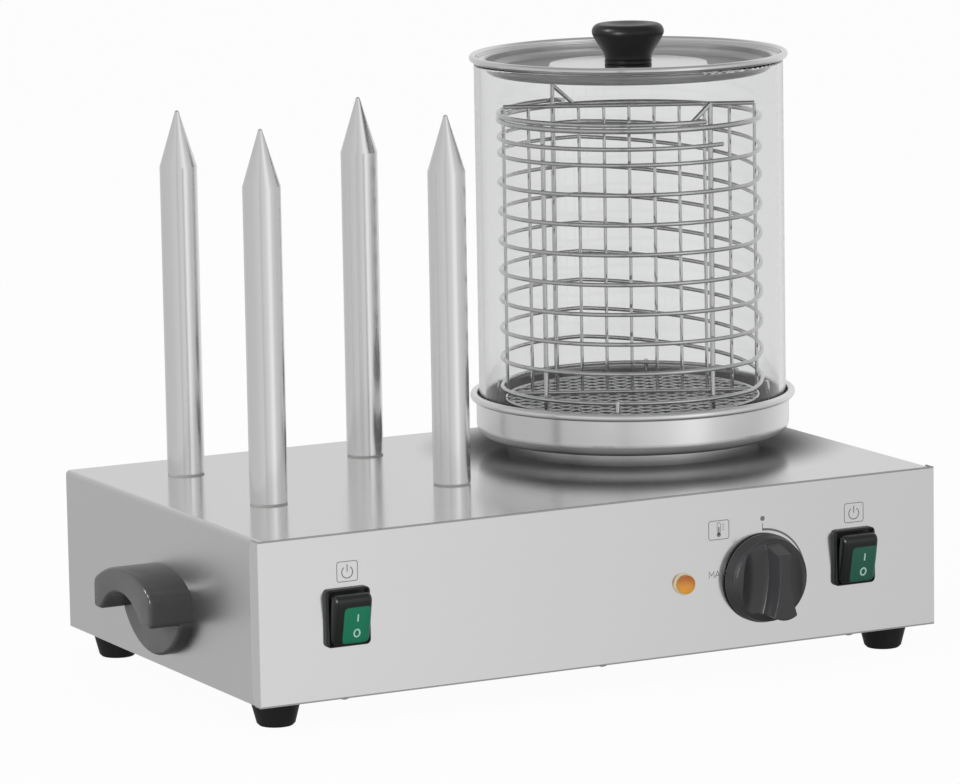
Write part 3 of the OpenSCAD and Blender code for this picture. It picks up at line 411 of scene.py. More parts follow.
@dataclass(frozen=True)
class ShellSteel(Metal):
    """Sheet steel, brighter on the deck than on its folded sides, with painted shade on the deck round the pan
    standing for the pan's reflection and shade.
    """

    deck_z: float = 0.0
    side_roughness: float = 0.36
    fold: float = 3 * MM
    # Painted shade is full within tint_r of the pan's axis and gone past clear_r
    tint_r: float = 96 * MM
    clear_r: float = 148 * MM
    share: float = 0.9

    def painted_shade_and_wear(self, sheet: Sheet) -> Any:
        """Returns the share of painted shade on the deck round the foot of the pan."""
        # Painted shade and reflection of the pan, laid as a soft dark halo on the deck
        return sheet.ranged(sheet.reach(self.centre), self.clear_r, self.tint_r) * self.share

    def base_roughness(self, sheet: Sheet) -> Any:
        """Returns the deck's roughness above the fold and the sides' below it."""
        _, _, z = sheet.split(sheet.place())
        deck = sheet.ranged(z, self.deck_z - self.fold, self.deck_z - self.fold / 3)
        return deck * (self.roughness - self.side_roughness) + self.side_roughness


@dataclass(frozen=True)
class Moulding(Finish):
    """Moulded plastic or rubber with a fine sparked surface."""

    colour: Colour = (0.02, 0.02, 0.02)
    roughness: float = 0.4
    speck: float = 1500.0
    depth: float = 12e-6
    coat: float = 0.0
    shine: float = 0.5
    coat_roughness: float = 0.15
    cloud_scale: float = 22.0

    def draw(self, sheet: Sheet) -> None:
        """Draws a sparked moulding with slightly uneven gloss."""
        coords = sheet.place()
        fine = sheet.noise(coords, self.speck)
        cloud = sheet.noise(coords, self.cloud_scale, 3.0)
        painted_shade_and_wear = tuple(min(1.0, 1.2 * part + 0.002) for part in self.colour)
        sheet.surface({
            "Base Color": sheet.tint(sheet.ranged(cloud, 0.35, 0.75), self.colour, painted_shade_and_wear),
            "Roughness": self.roughness + (cloud - 0.5) * 0.12 + (fine - 0.5) * 0.05,
            "Specular IOR Level": self.shine,
            "Coat Weight": self.coat,
            "Coat Roughness": self.coat_roughness,
            "Normal": sheet.bump(fine, self.depth),
        })


@dataclass(frozen=True)
class ClearGlass(Finish):
    """Clear blown glass with a trace of haze."""

    colour: Colour = (0.99, 0.993, 0.993)
    cloud_scale: float = 9.0
    haze: float = 0.002

    def draw(self, sheet: Sheet) -> None:
        """Draws clear glass whose haze drifts a little."""
        cloud = sheet.noise(sheet.place(), self.cloud_scale, 3.0)
        clear = tuple(0.99 * part for part in self.colour)
        sheet.surface({
            "Base Color": sheet.tint(sheet.ranged(cloud, 0.3, 0.7), clear, self.colour),
            "Roughness": sheet.ranged(cloud, 0.4, 0.8, 0.0, self.haze),
            "IOR": 1.47,
            "Specular IOR Level": 0.4,
            "Transmission Weight": 1.0,
        })


@dataclass(frozen=True)
class RockerBoot(Finish):
    """Black boot that turns to see-through green over the middle of the rocker."""

    centre: Point3 = (0.0, 0.0, 0.0)
    core: Colour = (0.0, 0.16, 0.09)
    edge: Colour = (0.004, 0.006, 0.006)
    half_w: float = 9.8 * MM
    half_h: float = 12.2 * MM
    squareness: float = 4.0
    haze_scale: float = 260.0
    fade: float = 0.07

    def draw(self, sheet: Sheet) -> None:
        """Draws the green window as a rounded patch."""
        x, _, z = sheet.split(sheet.place(self.centre))
        across = ((x / self.half_w) ** 2.0) ** self.squareness
        along = ((z / self.half_h) ** 2.0) ** self.squareness
        far = (across + along) ** (0.5 / self.squareness)
        haze = sheet.noise(sheet.place(), self.haze_scale)
        window = sheet.ranged(far + (haze - 0.5) * 0.03, 1.0, 1.0 - self.fade)
        sheet.surface({
            "Base Color": sheet.tint(window, self.edge, self.core),
            "Roughness": 0.34 + (haze - 0.5) * 0.1,
            "Coat Weight": 0.25,
            "Coat Roughness": 0.2,
            "Normal": sheet.bump(haze, 6e-6),
        })


@dataclass(frozen=True)
class LampCap(Finish):
    """Amber cap, deeper at its top and paler at its lower rim."""

    centre: Point3 = (0.0, 0.0, 0.0)
    reach: float = 6 * MM
    deep: Colour = (0.50, 0.13, 0.008)
    pale: Colour = (0.95, 0.42, 0.05)
    haze_scale: float = 300.0

    def draw(self, sheet: Sheet) -> None:
        """Draws a cap whose colour deepens upwards."""
        _, _, z = sheet.split(sheet.place(self.centre))
        haze = sheet.noise(sheet.place(), self.haze_scale)
        high = sheet.ranged(z / self.reach + (haze - 0.5) * 0.3, -0.7, 1.0)
        sheet.surface({
            "Base Color": sheet.tint(high, self.pale, self.deep),
            "Roughness": 0.18 + (haze - 0.5) * 0.1,
            "Coat Weight": 0.4,
            "Coat Roughness": 0.08,
            "Normal": sheet.bump(haze, 8e-6),
        })


@dataclass(frozen=True)
class Ink(Finish):
    """Screen-printed ink, a little thin in places."""

    colour: Colour = (0.1, 0.1, 0.1)
    cover_scale: float = 1800.0

    def draw(self, sheet: Sheet) -> None:
        """Draws ink whose cover drifts."""
        cover = sheet.noise(sheet.place(), self.cover_scale)
        thin = tuple(min(1.0, part * 1.5 + 0.03) for part in self.colour)
        sheet.surface({
            "Base Color": sheet.tint(sheet.ranged(cover, 0.45, 0.75), self.colour, thin),
            "Roughness": 0.5 + (cover - 0.5) * 0.2,
        })


MOULDINGS = bpy.data.collections.new("mouldings")
PAN_AXIS = middle("glass_cylinder").to_2d().to_tuple()
PAN_FOOT_H = 9 * MM

DECK_STEEL = ShellSteel("deck_steel", (0.80, 0.80, 0.80), 0.15, Grain.ALONG_X, 1100.0, 2e-7, 0.02,
                        PAN_AXIS, deck_z=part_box("housing_shell")[1].z)
PANEL_STEEL = FoldedSteel("panel_steel", (0.82, 0.82, 0.82), 0.15, Grain.ALONG_X, 1100.0, 2e-7, 0.02,
                          low_z=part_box("front_panel")[0].z, high_z=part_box("front_panel")[1].z)
BASE_STEEL = Metal("base_steel", (0.62, 0.63, 0.64), 0.32, Grain.ALONG_Y, 700.0, 1e-6, 0.1, tone=0.95)
# Pan steel with painted shade on its lower corner and inside
SPUN_STEEL = ShadedPanSteel("spun_steel", (0.94, 0.94, 0.94), 0.24, Grain.TURNED, 500.0, 1e-7, 0.02,
                         PAN_AXIS, corner_z=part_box("water_pan")[0].z + PAN_FOOT_H)
LID_STEEL = LidSteel("lid_steel", (0.86, 0.86, 0.86), 0.11, Grain.TURNED, 500.0, 2e-7, 0.03, PAN_AXIS)
SPIKE_METAL = Metal("spike_metal", (0.92, 0.92, 0.92), 0.20, Grain.TURNED, 700.0, 1e-7, 0.008, tone=0.994)
WIRE_STEEL = Metal("bright_wire", (0.66, 0.66, 0.67), 0.06, Grain.CAST, 500.0, 2e-7, 0.03)
MESH_STEEL = Metal("mesh_wire", (0.72, 0.72, 0.72), 0.12, Grain.CAST, 500.0, 2e-7, 0.03)
ZINC = Metal("zinc_plate", (0.66, 0.67, 0.66), 0.30, Grain.CAST, 900.0, 3e-6, 0.12)
ALUMINIUM = Metal("heater_aluminium", (0.72, 0.72, 0.73), 0.38, Grain.CAST, 600.0, 8e-6, 0.14)
CARTRIDGE = Metal("cartridge_steel", (0.45, 0.42, 0.38), 0.35, Grain.TURNED, 600.0, 2e-6, 0.1)
BRASS = Metal("bulb_brass", (0.75, 0.54, 0.22), 0.25, Grain.CAST, 700.0, 2e-6, 0.1)
GLASS = ClearGlass("clear_glass")
HANDLE_BLACK = Moulding("handle_black", (0.040, 0.040, 0.041), 0.20, 1700.0, 4e-6)
KNOB_BLACK = Moulding("knob_black", (0.031, 0.031, 0.033), 0.30, 1900.0, 4e-6)
GLOSS_BLACK = Moulding("lid_knob_black", (0.004, 0.004, 0.0045), 0.32, 900.0, 5e-7, shine=0.35)
FRAME_BLACK = Moulding("frame_black", (0.012, 0.012, 0.013), 0.36, 1800.0, 4e-6)
FOOT_RUBBER = Moulding("foot_rubber", (0.010, 0.010, 0.010), 0.55, 1100.0, 20e-6, shine=0.4)
GASKET_RUBBER = Moulding("gasket_rubber", (0.42, 0.42, 0.41), 0.6, 1000.0, 15e-6)
DARK_HOUSING = Moulding("dark_housing", (0.02, 0.02, 0.022), 0.5, 1200.0, 10e-6)
GLAND_GREY = Moulding("gland_grey", (0.16, 0.165, 0.17), 0.45, 1400.0, 10e-6)
BLOCK_WHITE = Moulding("block_white", (0.75, 0.74, 0.70), 0.4, 1300.0, 8e-6)
LAMP_RIM = Moulding("lamp_rim_clear", (0.86, 0.80, 0.58), 0.2, 900.0, 2e-6, 0.4)
GREY_INK = Ink("grey_ink", (0.19, 0.19, 0.195))
PALE_GREEN_INK = Ink("pale_green_ink", (0.42, 0.66, 0.55))


def stand(name: str, data: Any) -> bpy.types.Object:
    """Adds an object with this mesh, light or camera to the scene."""
    made = bpy.data.objects.new(name, data)
    bpy.context.scene.collection.objects.link(made)
    return made


def plain_mesh(carrier: bpy.types.Object, name: str) -> bpy.types.Mesh:
    """Turns a carrier with its modifiers into a plain mesh, and removes the carrier."""
    evaluated = carrier.evaluated_get(bpy.context.evaluated_depsgraph_get())
    made = bpy.data.meshes.new_from_object(evaluated)
    made.name = name
    carrier.modifiers.clear()
    bpy.data.objects.remove(carrier)
    return made


def shaded(mesh: bpy.types.Mesh, crease: float) -> bpy.types.Mesh:
    """Shades a mesh smooth, with edges over the crease angle in degrees sharp."""
    mesh.shade_smooth()
    mesh.set_sharp_from_angle(angle=math.radians(crease))
    return mesh


def dress(finish: Finish, *nodes: str) -> None:
    """Gives CAD nodes a finish.

    Args:
        finish: The finish.
        *nodes: Names of the nodes.
    """
    for node in nodes:
        mesh = NODES[node].data
        mesh.materials.clear()
        mesh.materials.append(finish.material())
        LOG.info("%s dressed in %s", node, finish.name)


def add_piece(name: str, mesh: bpy.types.Mesh, finish: Finish, body: str,
              stands_for: Sequence[str] = ()) -> bpy.types.Object:
    """Adds a new piece to the object.

    Args:
        name: The piece's name.
        mesh: Its mesh, in place in the frame.
        finish: Its finish.
        body: The body that carries it.
        stands_for: CAD nodes that it replaces.

    Returns:
        The new object.
    """
    piece = stand(name, mesh)
    if isinstance(finish, (Moulding, RockerBoot)):
        MOULDINGS.objects.link(piece)
    mesh.materials.clear()
    mesh.materials.append(finish.material())
    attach(piece, body)
    if stands_for:
        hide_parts(*stands_for)
    LOG.info("%s made with %d faces on %s", name, len(mesh.polygons), body)
    return piece


def closed_mesh(name: str, work: bmesh.types.BMesh, crease: float = 35.0) -> bpy.types.Mesh:
    """Turns a bmesh into a smooth-shaded mesh with its faces outwards.

    Args:
        name: Name of the mesh.
        work: The bmesh, which is freed.
        crease: Angle in degrees over which an edge stays sharp.

    Returns:
        The new mesh.
    """
    bmesh.ops.recalc_face_normals(work, faces=work.faces)
    mesh = bpy.data.meshes.new(name)
    work.to_mesh(mesh)
    work.free()
    return shaded(mesh, crease)


def bridge(work: bmesh.types.BMesh, loops: Sequence[Sequence[bmesh.types.BMVert]],
           ring: bool = False) -> None:
    """Joins neighbouring loops of points by faces.

    Args:
        work: The bmesh that holds the points.
        loops: Loops with equal numbers of points.
        ring: Whether the last loop joins the first.
    """
    for first, second in zip(loops, [*loops[1:], loops[0]] if ring else loops[1:]):
        for k, here in enumerate(first):
            after = (k + 1) % len(first)
            work.faces.new((here, first[after], second[after], second[k]))


def merged_copy(node: str, within: float) -> bmesh.types.BMesh:
    """Copies a CAD node's loose triangles and merges points that lie within a distance."""
    work = bmesh.new()
    work.from_mesh(NODES[node].data)
    bmesh.ops.remove_doubles(work, verts=work.verts, dist=within)
    return work


def softened(node: str, width: float, segments: int = 3, crease: float = 30.0) -> bpy.types.Mesh:
    """Copies a CAD node and rounds its sharp edges.

    Args:
        node: Name of the node.
        width: Width of the rounding.
        segments: Number of steps across it.
        crease: Angle in degrees over which an edge is rounded.

    Returns:
        The rounded mesh.
    """
    work = merged_copy(node, 0.004 * MM)
    bmesh.ops.dissolve_limit(work, angle_limit=math.radians(0.5), verts=work.verts, edges=work.edges)
    limit = math.radians(crease)
    sharp = [e for e in work.edges if len(e.link_faces) == 2 and e.calc_face_angle(0.0) > limit]
    bmesh.ops.bevel(work, geom=sharp, offset=width, offset_type="OFFSET", segments=segments,
                    profile=0.5, affect="EDGES", clamp_overlap=True)
    return closed_mesh(f"{node}_soft", work, 40.0)


def remoulded(node: str, voxel: float, passes: int) -> bpy.types.Mesh:
    """Copies a CAD node as one even skin with eased edges.

    Args:
        node: Name of the node.
        voxel: Grain of the skin.
        passes: Number of smoothing passes.

    Returns:
        The new mesh.
    """
    work = merged_copy(node, 0.01 * MM)
    raw = bpy.data.meshes.new(f"{node}_raw")
    work.to_mesh(raw)
    work.free()
    carrier = stand(f"{node}_carrier", raw)
    skin = carrier.modifiers.new("skin", "REMESH")
    skin.mode = "VOXEL"
    skin.voxel_size = voxel
    carrier.modifiers.new("ease", "SMOOTH").iterations = passes
    made = plain_mesh(carrier, f"{node}_moulding")
    made.shade_smooth()
    return made


def arc(centre: Point2, radius: float, start: float, end: float, steps: int) -> list[Point2]:
    """Returns points of an arc.

    Args:
        centre: Middle of the arc.
        radius: Its radius.
        start: First angle in degrees.
        end: Last angle in degrees.
        steps: Number of steps.

    Returns:
        Points from start to end.
    """
    turns = [math.radians(start + (end - start) * i / steps) for i in range(steps + 1)]
    return [(centre[0] + radius * math.cos(t), centre[1] + radius * math.sin(t)) for t in turns]


def bezier(points: Sequence[Point2], steps: int) -> list[Point2]:
    """Returns points of a cubic curve through its first and last of four control points."""
    a, b, c, d = (Vector(p) for p in points)
    found = []
    for i in range(steps + 1):
        t = i / steps
        s = 1 - t
        found.append((s**3 * a + 3 * s * s * t * b + 3 * s * t * t * c + t**3 * d).to_tuple())
    return found


def turned(name: str, profile: Sequence[Point2], foot: Vector, segments: int = 96) -> bpy.types.Mesh:
    """Turns a profile about an upright axis.

    Args:
        name: Name of the mesh.
        profile: Radius and height pairs, from the axis to the axis or all round a ring's section.
        foot: Point on the axis at height 0.
        segments: Number of steps round the axis.

    Returns:
        The closed mesh.
    """
    work = bmesh.new()
    turns = [2 * math.pi * k / segments for k in range(segments)]
    around = [Vector((math.cos(turn), math.sin(turn), 0)) for turn in turns]
    rings = [[work.verts.new(foot + radius * out + Vector((0, 0, height))) for out in around]
             for radius, height in profile if radius]
    hollow = profile[0][0] > 0
    bridge(work, rings, ring=hollow)
    if not hollow:
        for (_, height), ring in ((profile[0], rings[0]), (profile[-1], rings[-1])):
            tip = work.verts.new(foot + Vector((0, 0, height)))
            for k in range(segments):
                work.faces.new((tip, ring[k], ring[(k + 1) % segments]))
    return closed_mesh(name, work)


class WireSweep:
    """Geometry Nodes tree that sweeps a round wire along every chain of edges."""

    def __init__(self) -> None:
        """Builds the tree with its named inputs."""
        self.tree = bpy.data.node_groups.new("wire_sweep", "GeometryNodeTree")
        face = self.tree.interface
        face.new_socket("Geometry", in_out="INPUT", socket_type="NodeSocketGeometry")
        kinds = {"Wire radius": "NodeSocketFloat", "Sides": "NodeSocketInt", "Finish": "NodeSocketMaterial"}
        self.inputs = {name: face.new_socket(name, in_out="INPUT", socket_type=kind).identifier
                       for name, kind in kinds.items()}
        face.new_socket("Geometry", in_out="OUTPUT", socket_type="NodeSocketGeometry")
        given = self.add("NodeGroupInput", {}).outputs
        path = self.add("GeometryNodeMeshToCurve", {"Mesh": given["Geometry"]})
        circle = self.add("GeometryNodeCurvePrimitiveCircle",
                          {"Radius": given["Wire radius"], "Resolution": given["Sides"]})
        sweep = self.add("GeometryNodeCurveToMesh",
                         {"Curve": path.outputs["Curve"], "Profile Curve": circle.outputs["Curve"]})
        sweep.inputs["Fill Caps"].default_value = True
        smooth = self.add("GeometryNodeSetShadeSmooth", {"Geometry": sweep.outputs["Mesh"]})
        real = self.add("GeometryNodeRealizeInstances", {"Geometry": smooth.outputs["Geometry"]})
        paint = self.add("GeometryNodeSetMaterial",
                         {"Geometry": real.outputs["Geometry"], "Material": given["Finish"]})
        self.add("NodeGroupOutput", {"Geometry": paint.outputs["Geometry"]})

    def add(self, kind: str, links: dict[str, bpy.types.NodeSocket]) -> bpy.types.Node:
        """Adds one node of the tree.

        Args:
            kind: The node's type.
            links: Sockets that feed its inputs, by the input's name.

        Returns:
            The new node.
        """
        node = self.tree.nodes.new(kind)
        for name, source in links.items():
            self.tree.links.new(source, node.inputs[name])
        return node

    def mesh(self, name: str, chains: Sequence[Sequence[Vector]], radius: float, sides: int,
             finish: Finish, closed: bool = False) -> bpy.types.Mesh:
        """Sweeps a wire along chains of points.

        Args:
            name: Name of the mesh.
            chains: Points of each wire.
            radius: Radius of the wire.
            sides: Number of sides of the wire.
            finish: The wire's finish.
            closed: Whether each chain joins its own start.

        Returns:
            A plain mesh.
        """
        points: list[Vector] = []
        edges: list[tuple[int, int]] = []
        for chain in chains:
            first = len(points)
            points.extend(chain)
            edges.extend((i, i + 1) for i in range(first, len(points) - 1))
            if closed:
                edges.append((len(points) - 1, first))
        path = bpy.data.meshes.new(f"{name}_path")
        path.from_pydata(points, edges, [])
        carrier = stand(f"{name}_carrier", path)
        modifier = carrier.modifiers.new("wire_sweep", "NODES")
        modifier.node_group = self.tree
        modifier[self.inputs["Wire radius"]] = radius
        modifier[self.inputs["Sides"]] = sides
        modifier[self.inputs["Finish"]] = finish.material()
        return plain_mesh(carrier, name)


class Stencil:
    """Thin raised marks on a plane, gathered into one mesh."""

    def __init__(self, origin: Vector, across: Vector, up: Vector, thickness: float) -> None:
        """Takes the plane's origin, its two directions and the marks' thickness."""
        self.origin, self.across, self.up = origin, across, up
        self.out = across.cross(up)
        self.thickness = thickness
        self.work = bmesh.new()

    def _vert(self, at: Point2, raised: bool) -> bmesh.types.BMVert:
        """Adds a point of the plane, or of the marks' face."""
        lift = self.thickness if raised else 0.0
        return self.work.verts.new(self.origin + at[0] * self.across + at[1] * self.up + lift * self.out)

    def stroke(self, points: Sequence[Point2], widths: Sequence[float], closed: bool = False) -> None:
        """Draws a line of changing width.

        Args:
            points: Middle points of the line.
            widths: Its width at each point, or one width for all.
            closed: Whether the line joins its own start.
        """
        count = len(points)
        stations = []
        for i, at in enumerate(points):
            here = Vector(at)
            before = Vector(points[i - 1] if i or closed else at)
            after = Vector(points[(i + 1) % count] if i + 1 < count or closed else at)
            came, goes = (here - before), (after - here)
            came = came.normalized() if came.length else goes.normalized()
            goes = goes.normalized() if goes.length else came
            along = (came + goes).normalized()
            side = Vector((-along.y, along.x))
            half = widths[min(i, len(widths) - 1)] / 2 / max(0.5, came.dot(along))
            ends = (here + half * side, here - half * side)
            stations.append([self._vert(ends[0], False), self._vert(ends[1], False),
                             self._vert(ends[1], True), self._vert(ends[0], True)])
        bridge(self.work, stations, ring=closed)
        if not closed:
            self.work.faces.new(stations[0][::-1])
            self.work.faces.new(stations[-1])

    def disc(self, centre: Point2, radius: float, steps: int = 24) -> None:
        """Draws a filled dot."""
        ring = arc(centre, radius, 0, 360 * (1 - 1 / steps), steps - 1)
        low = [self._vert(p, False) for p in ring]
        high = [self._vert(p, True) for p in ring]
        self.work.faces.new(low[::-1])
        self.work.faces.new(high)
        bridge(self.work, (low, high))

    def frame(self, centre: Point2, width: float, height: float, corner: float, line: float) -> None:
        """Draws the outline of a rounded rectangle."""
        dx, dz = width / 2 - corner, height / 2 - corner
        outline: list[Point2] = []
        for k, (sx, sz) in enumerate(((1, 1), (-1, 1), (-1, -1), (1, -1))):
            outline += arc((centre[0] + sx * dx, centre[1] + sz * dz), corner, 90 * k, 90 * k + 90, 5)
        self.stroke(outline, [line], closed=True)

    def mesh(self, name: str) -> bpy.types.Mesh:
        """Returns the marks as one mesh."""
        return closed_mesh(name, self.work, 30.0)


class Assembly:
    """A sub-assembly that makes its own pieces and dresses its CAD nodes."""

    def build(self) -> None:
        """Makes the pieces that the CAD nodes don't give."""

    def dress(self) -> None:
        """Gives the CAD nodes that stay their finishes."""


@dataclass
class Housing(Assembly):
    """Sheet-steel housing with its base and feet."""

    feet: tuple[str, ...] = ("foot_front_left", "foot_front_right", "foot_rear_left", "foot_rear_right")

    def dress(self) -> None:
        """Gives the sheets, screws and feet their finishes."""
        dress(DECK_STEEL, "housing_shell")
        dress(PANEL_STEEL, "front_panel", "rear_panel")
        dress(BASE_STEEL, "base_plate")
        dress(ZINC, "base_screws", "foot_screws", "foot_nuts")
        dress(FOOT_RUBBER, *self.feet)


@dataclass
class BreadSpikes(Assembly):
    """Four heated spikes with their gaskets and fittings."""

    spikes: tuple[str, ...] = ("spike_front_left", "spike_front_right", "spike_rear_left", "spike_rear_right")

    def dress(self) -> None:
        """Gives each spike turning marks about its own axis."""
        for spike in self.spikes:
            axis = middle(spike).to_2d().to_tuple()
            dress(replace(SPIKE_METAL, name=f"{spike}_metal", centre=axis), spike)
        dress(GASKET_RUBBER, "spike_gaskets")
        dress(ZINC, "spike_nuts")
        dress(CARTRIDGE, "spike_heaters")


@dataclass
class SteamPan(Assembly):
    """Spun pan with the heating parts below it."""

    def dress(self) -> None:
        """Gives the pan and its heating parts their finishes."""
        dress(SPUN_STEEL, "water_pan")
        dress(ALUMINIUM, "pan_heater")
        dress(ZINC, "heater_bracket", "pan_stud", "pan_nut")
        dress(BRASS, "sensor_bulb")


@dataclass
class GlassAndLid(Assembly):
    """Glass cylinder, lid and the lid's turned knob."""

    neck_r: float = 15.4 * MM
    neck_h: float = 3.5 * MM
    collar_h: float = 2.4 * MM
    collar_step: float = 0.3 * MM
    collar_cut: float = 0.6 * MM
    foot_edge: float = 0.8 * MM
    flare_in: Point2 = (3.3 * MM, 6.7 * MM)
    swell_lean: float = -30.0
    rim_r: float = 5.2 * MM
    dish_r: float = 13.8 * MM
    dish_lip: float = 1.5 * MM
    dish_depth: float = 1.6 * MM
    dish_steps: int = 9
    lid_segments: int = 256
    hole_r: float = 2.6 * MM
    plateau_r: float = 51.5 * MM
    plateau_rise: float = 4.0 * MM
    ring_r: float = 55.0 * MM
    plug_r: float = 94.0 * MM
    plug_depth: float = 8.0 * MM
    corner_r: float = 6.0 * MM
    sheet: float = 1.2 * MM
    bead_r: float = 2.3 * MM
    bead_start: float = 20.0

    def lid_profile(self, widest: float) -> list[Point2]:
        """Returns the lid's section.

        Args:
            widest: The lid's largest radius.

        Returns:
            Radius and height pairs all round the section, from its hole outwards below.
        """
        t, rise, depth = self.sheet, self.plateau_rise, self.plug_depth
        turn = (self.plug_r - self.corner_r, self.corner_r)
        bead = (widest - self.bead_r, depth + self.bead_r)
        meet = 180 + math.degrees(math.asin((self.bead_r - t) / self.bead_r))
        seat = depth + self.bead_r * (1 - math.cos(math.radians(self.bead_start)))
        lip = (self.plug_r - t / 2, depth + t / 2)
        profile = [(self.hole_r, rise), (self.plateau_r - t, rise), (self.ring_r - t, 0.0)]
        profile += arc(turn, self.corner_r, -90, 0, 8) + [(self.plug_r, seat)]
        profile += arc(bead, self.bead_r, -90 - self.bead_start, meet, 28)
        profile += arc(lip, t / 2, 90, 180, 5)
        profile += arc(turn, self.corner_r - t, 0, -90, 8) + [(self.ring_r, t)]
        return profile + [(self.plateau_r, rise + t), (self.hole_r, rise + t)]

    def knob_profile(self, widest: float, height: float) -> list[Point2]:
        """Returns the knob's section.

        Args:
            widest: The knob's largest radius.
            height: The knob's height.

        Returns:
            Radius and height pairs from the axis at the foot to the axis at the top.
        """
        neck, edge = self.neck_r, self.foot_edge
        rim = (widest - self.rim_r, height - self.rim_r)
        swell = arc(rim, self.rim_r, self.swell_lean, 90, 1)[0]
        flare = ((neck, self.neck_h), (neck + 0.1 * MM, 2.1 * self.neck_h),
                 (swell[0] - self.flare_in[0], swell[1] - self.flare_in[1]), swell)
        profile = [(0.0, 0.0), (neck - edge, 0.0)] + arc((neck - edge, edge), edge, -60, 0, 3)
        profile += [(neck, self.collar_h), (neck - self.collar_cut, self.collar_h + self.collar_step)]
        profile += bezier(flare, 14) + arc(rim, self.rim_r, 0.8 * self.swell_lean, 90, 14)
        profile.append((self.dish_r + self.dish_lip, height))
        for k in range(self.dish_steps):
            share = 1 - k / self.dish_steps
            profile.append((self.dish_r * share, height - self.dish_depth * (1 - share * share)))
        return profile + [(0.0, height - self.dish_depth)]

    def build(self) -> None:
        """Makes the spun lid and its turned knob."""
        low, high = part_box("lid")
        profile = self.lid_profile((high.x - low.x) / 2)
        lid = turned("lid_spinning", profile, Vector((*PAN_AXIS, low.z)), self.lid_segments)
        add_piece("lid_spinning", lid, LID_STEEL, "cover", ("lid",))
        low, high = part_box("lid_knob")
        profile = self.knob_profile((high.x - low.x) / 2, high.z - low.z)
        knob = turned("lid_knob_moulding", profile, Vector((*middle("lid_knob").to_2d(), low.z)))
        add_piece("lid_knob_moulding", knob, GLOSS_BLACK, "cover", ("lid_knob",))

    def dress(self) -> None:
        """Gives the glass and the hidden screw their finishes."""
        dress(GLASS, "glass_cylinder")
        dress(ZINC, "lid_knob_screw")


@dataclass
class WireBasket(Assembly):
    """Basket of bright wire: stepped winding, woven floor and the straight wires."""

    sweep: WireSweep
    turn: float = -27.0
    hoop_r: float = 85.5 * MM
    wound_r: float = 1.4 * MM
    cut_end_turn: float = -48.0
    level_first: float = 200.0
    rise_span: float = 140.0
    last_rise: float = 10.3 * MM
    hoop_pitch: float = 19.3 * MM
    hoop_rises: int = 8
    tail: float = 300.0
    step: float = 4.0
    mesh_pitch: float = 9.0 * MM
    mesh_wire_r: float = 0.55 * MM
    weave: float = 0.3 * MM
    rim_wire_r: float = 1.2 * MM
    leans: Point2 = (45.0, 135.0)
    wave_steps: int = 6

    def at(self, radius: float, turn: float, height: float) -> Vector:
        """Returns a point given by radius, turn in the basket and height."""
        angle = math.radians(turn + self.turn)
        x, y = PAN_AXIS
        return Vector((x + radius * math.cos(angle), y + radius * math.sin(angle), height))

    def fall(self, travel: float) -> float:
        """Returns the winding's fall after a travel in degrees from its cut end."""
        def share(first: float) -> float:
            """Returns the part of one step that lies behind."""
            return max(0.0, min(1.0, (travel - first) / self.rise_span))

        steps = sum(share(self.level_first + 360 * i) for i in range(1, self.hoop_rises + 1))
        return self.last_rise * share(self.level_first) + self.hoop_pitch * steps

    def winding(self) -> list[Vector]:
        """Returns the path of the wound wire from its cut end down."""
        end_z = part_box("basket_winding")[1].z - self.wound_r
        travel = self.level_first + self.rise_span + 360 * self.hoop_rises + self.tail
        count = round(travel / self.step)
        return [self.at(self.hoop_r, self.cut_end_turn - i * self.step, end_z - self.fall(i * self.step))
                for i in range(count + 1)]

    def floor_wires(self, radius: float, level: float) -> list[list[Vector]]:
        """Returns the paths of the floor's crossing wires.

        Args:
            radius: Radius of the floor.
            level: Height of the weave's middle.

        Returns:
            One path for each wire, passing over and under the wires that it crosses.
        """
        paths = []
        count = int(radius / self.mesh_pitch) + 1
        for family, lean in enumerate(self.leans):
            along = Vector((math.cos(math.radians(lean)), math.sin(math.radians(lean))))
            side = Vector((-along.y, along.x))
            for k in range(-count, count):
                offset = (k + 0.5) * self.mesh_pitch
                if abs(offset) > radius - 2 * self.mesh_wire_r:
                    continue
                half = math.sqrt(radius * radius - offset * offset)
                steps = max(4, round(2 * half / self.mesh_pitch * self.wave_steps))
                path = []
                for i in range(steps + 1):
                    s = -half + 2 * half * i / steps
                    wave = math.cos(math.pi * (s / self.mesh_pitch - 0.5)) * (-1) ** (k + family)
                    flat = s * along + offset * side
                    turn = math.degrees(math.atan2(flat.y, flat.x))
                    path.append(self.at(flat.length, turn, level + self.weave * wave))
                paths.append(path)
        return paths

    def build(self) -> None:
        """Makes the winding and the woven floor."""
        wound = self.sweep.mesh("winding_wire", [self.winding()], self.wound_r, 14, WIRE_STEEL)
        add_piece("winding_wire", wound, WIRE_STEEL, "basket", ("basket_winding",))
        low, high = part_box("basket_floor")
        radius = (high.x - low.x) / 2 - self.rim_wire_r
        level = (low.z + high.z) / 2
        wires = self.floor_wires(radius, level)
        woven = self.sweep.mesh("floor_weave", wires, self.mesh_wire_r, 8, MESH_STEEL)
        add_piece("floor_weave", woven, MESH_STEEL, "basket", ("basket_floor",))
        hoop = [self.at(radius, self.step * i, level) for i in range(round(360 / self.step))]
        rim = self.sweep.mesh("floor_rim", [hoop], self.rim_wire_r, 12, WIRE_STEEL, closed=True)
        add_piece("floor_rim", rim, WIRE_STEEL, "basket")

    def dress(self) -> None:
        """Gives the straight and bent wires their finish."""
        dress(WIRE_STEEL, "basket_ring", "basket_divider", "basket_uprights", "basket_legs", "basket_bail")


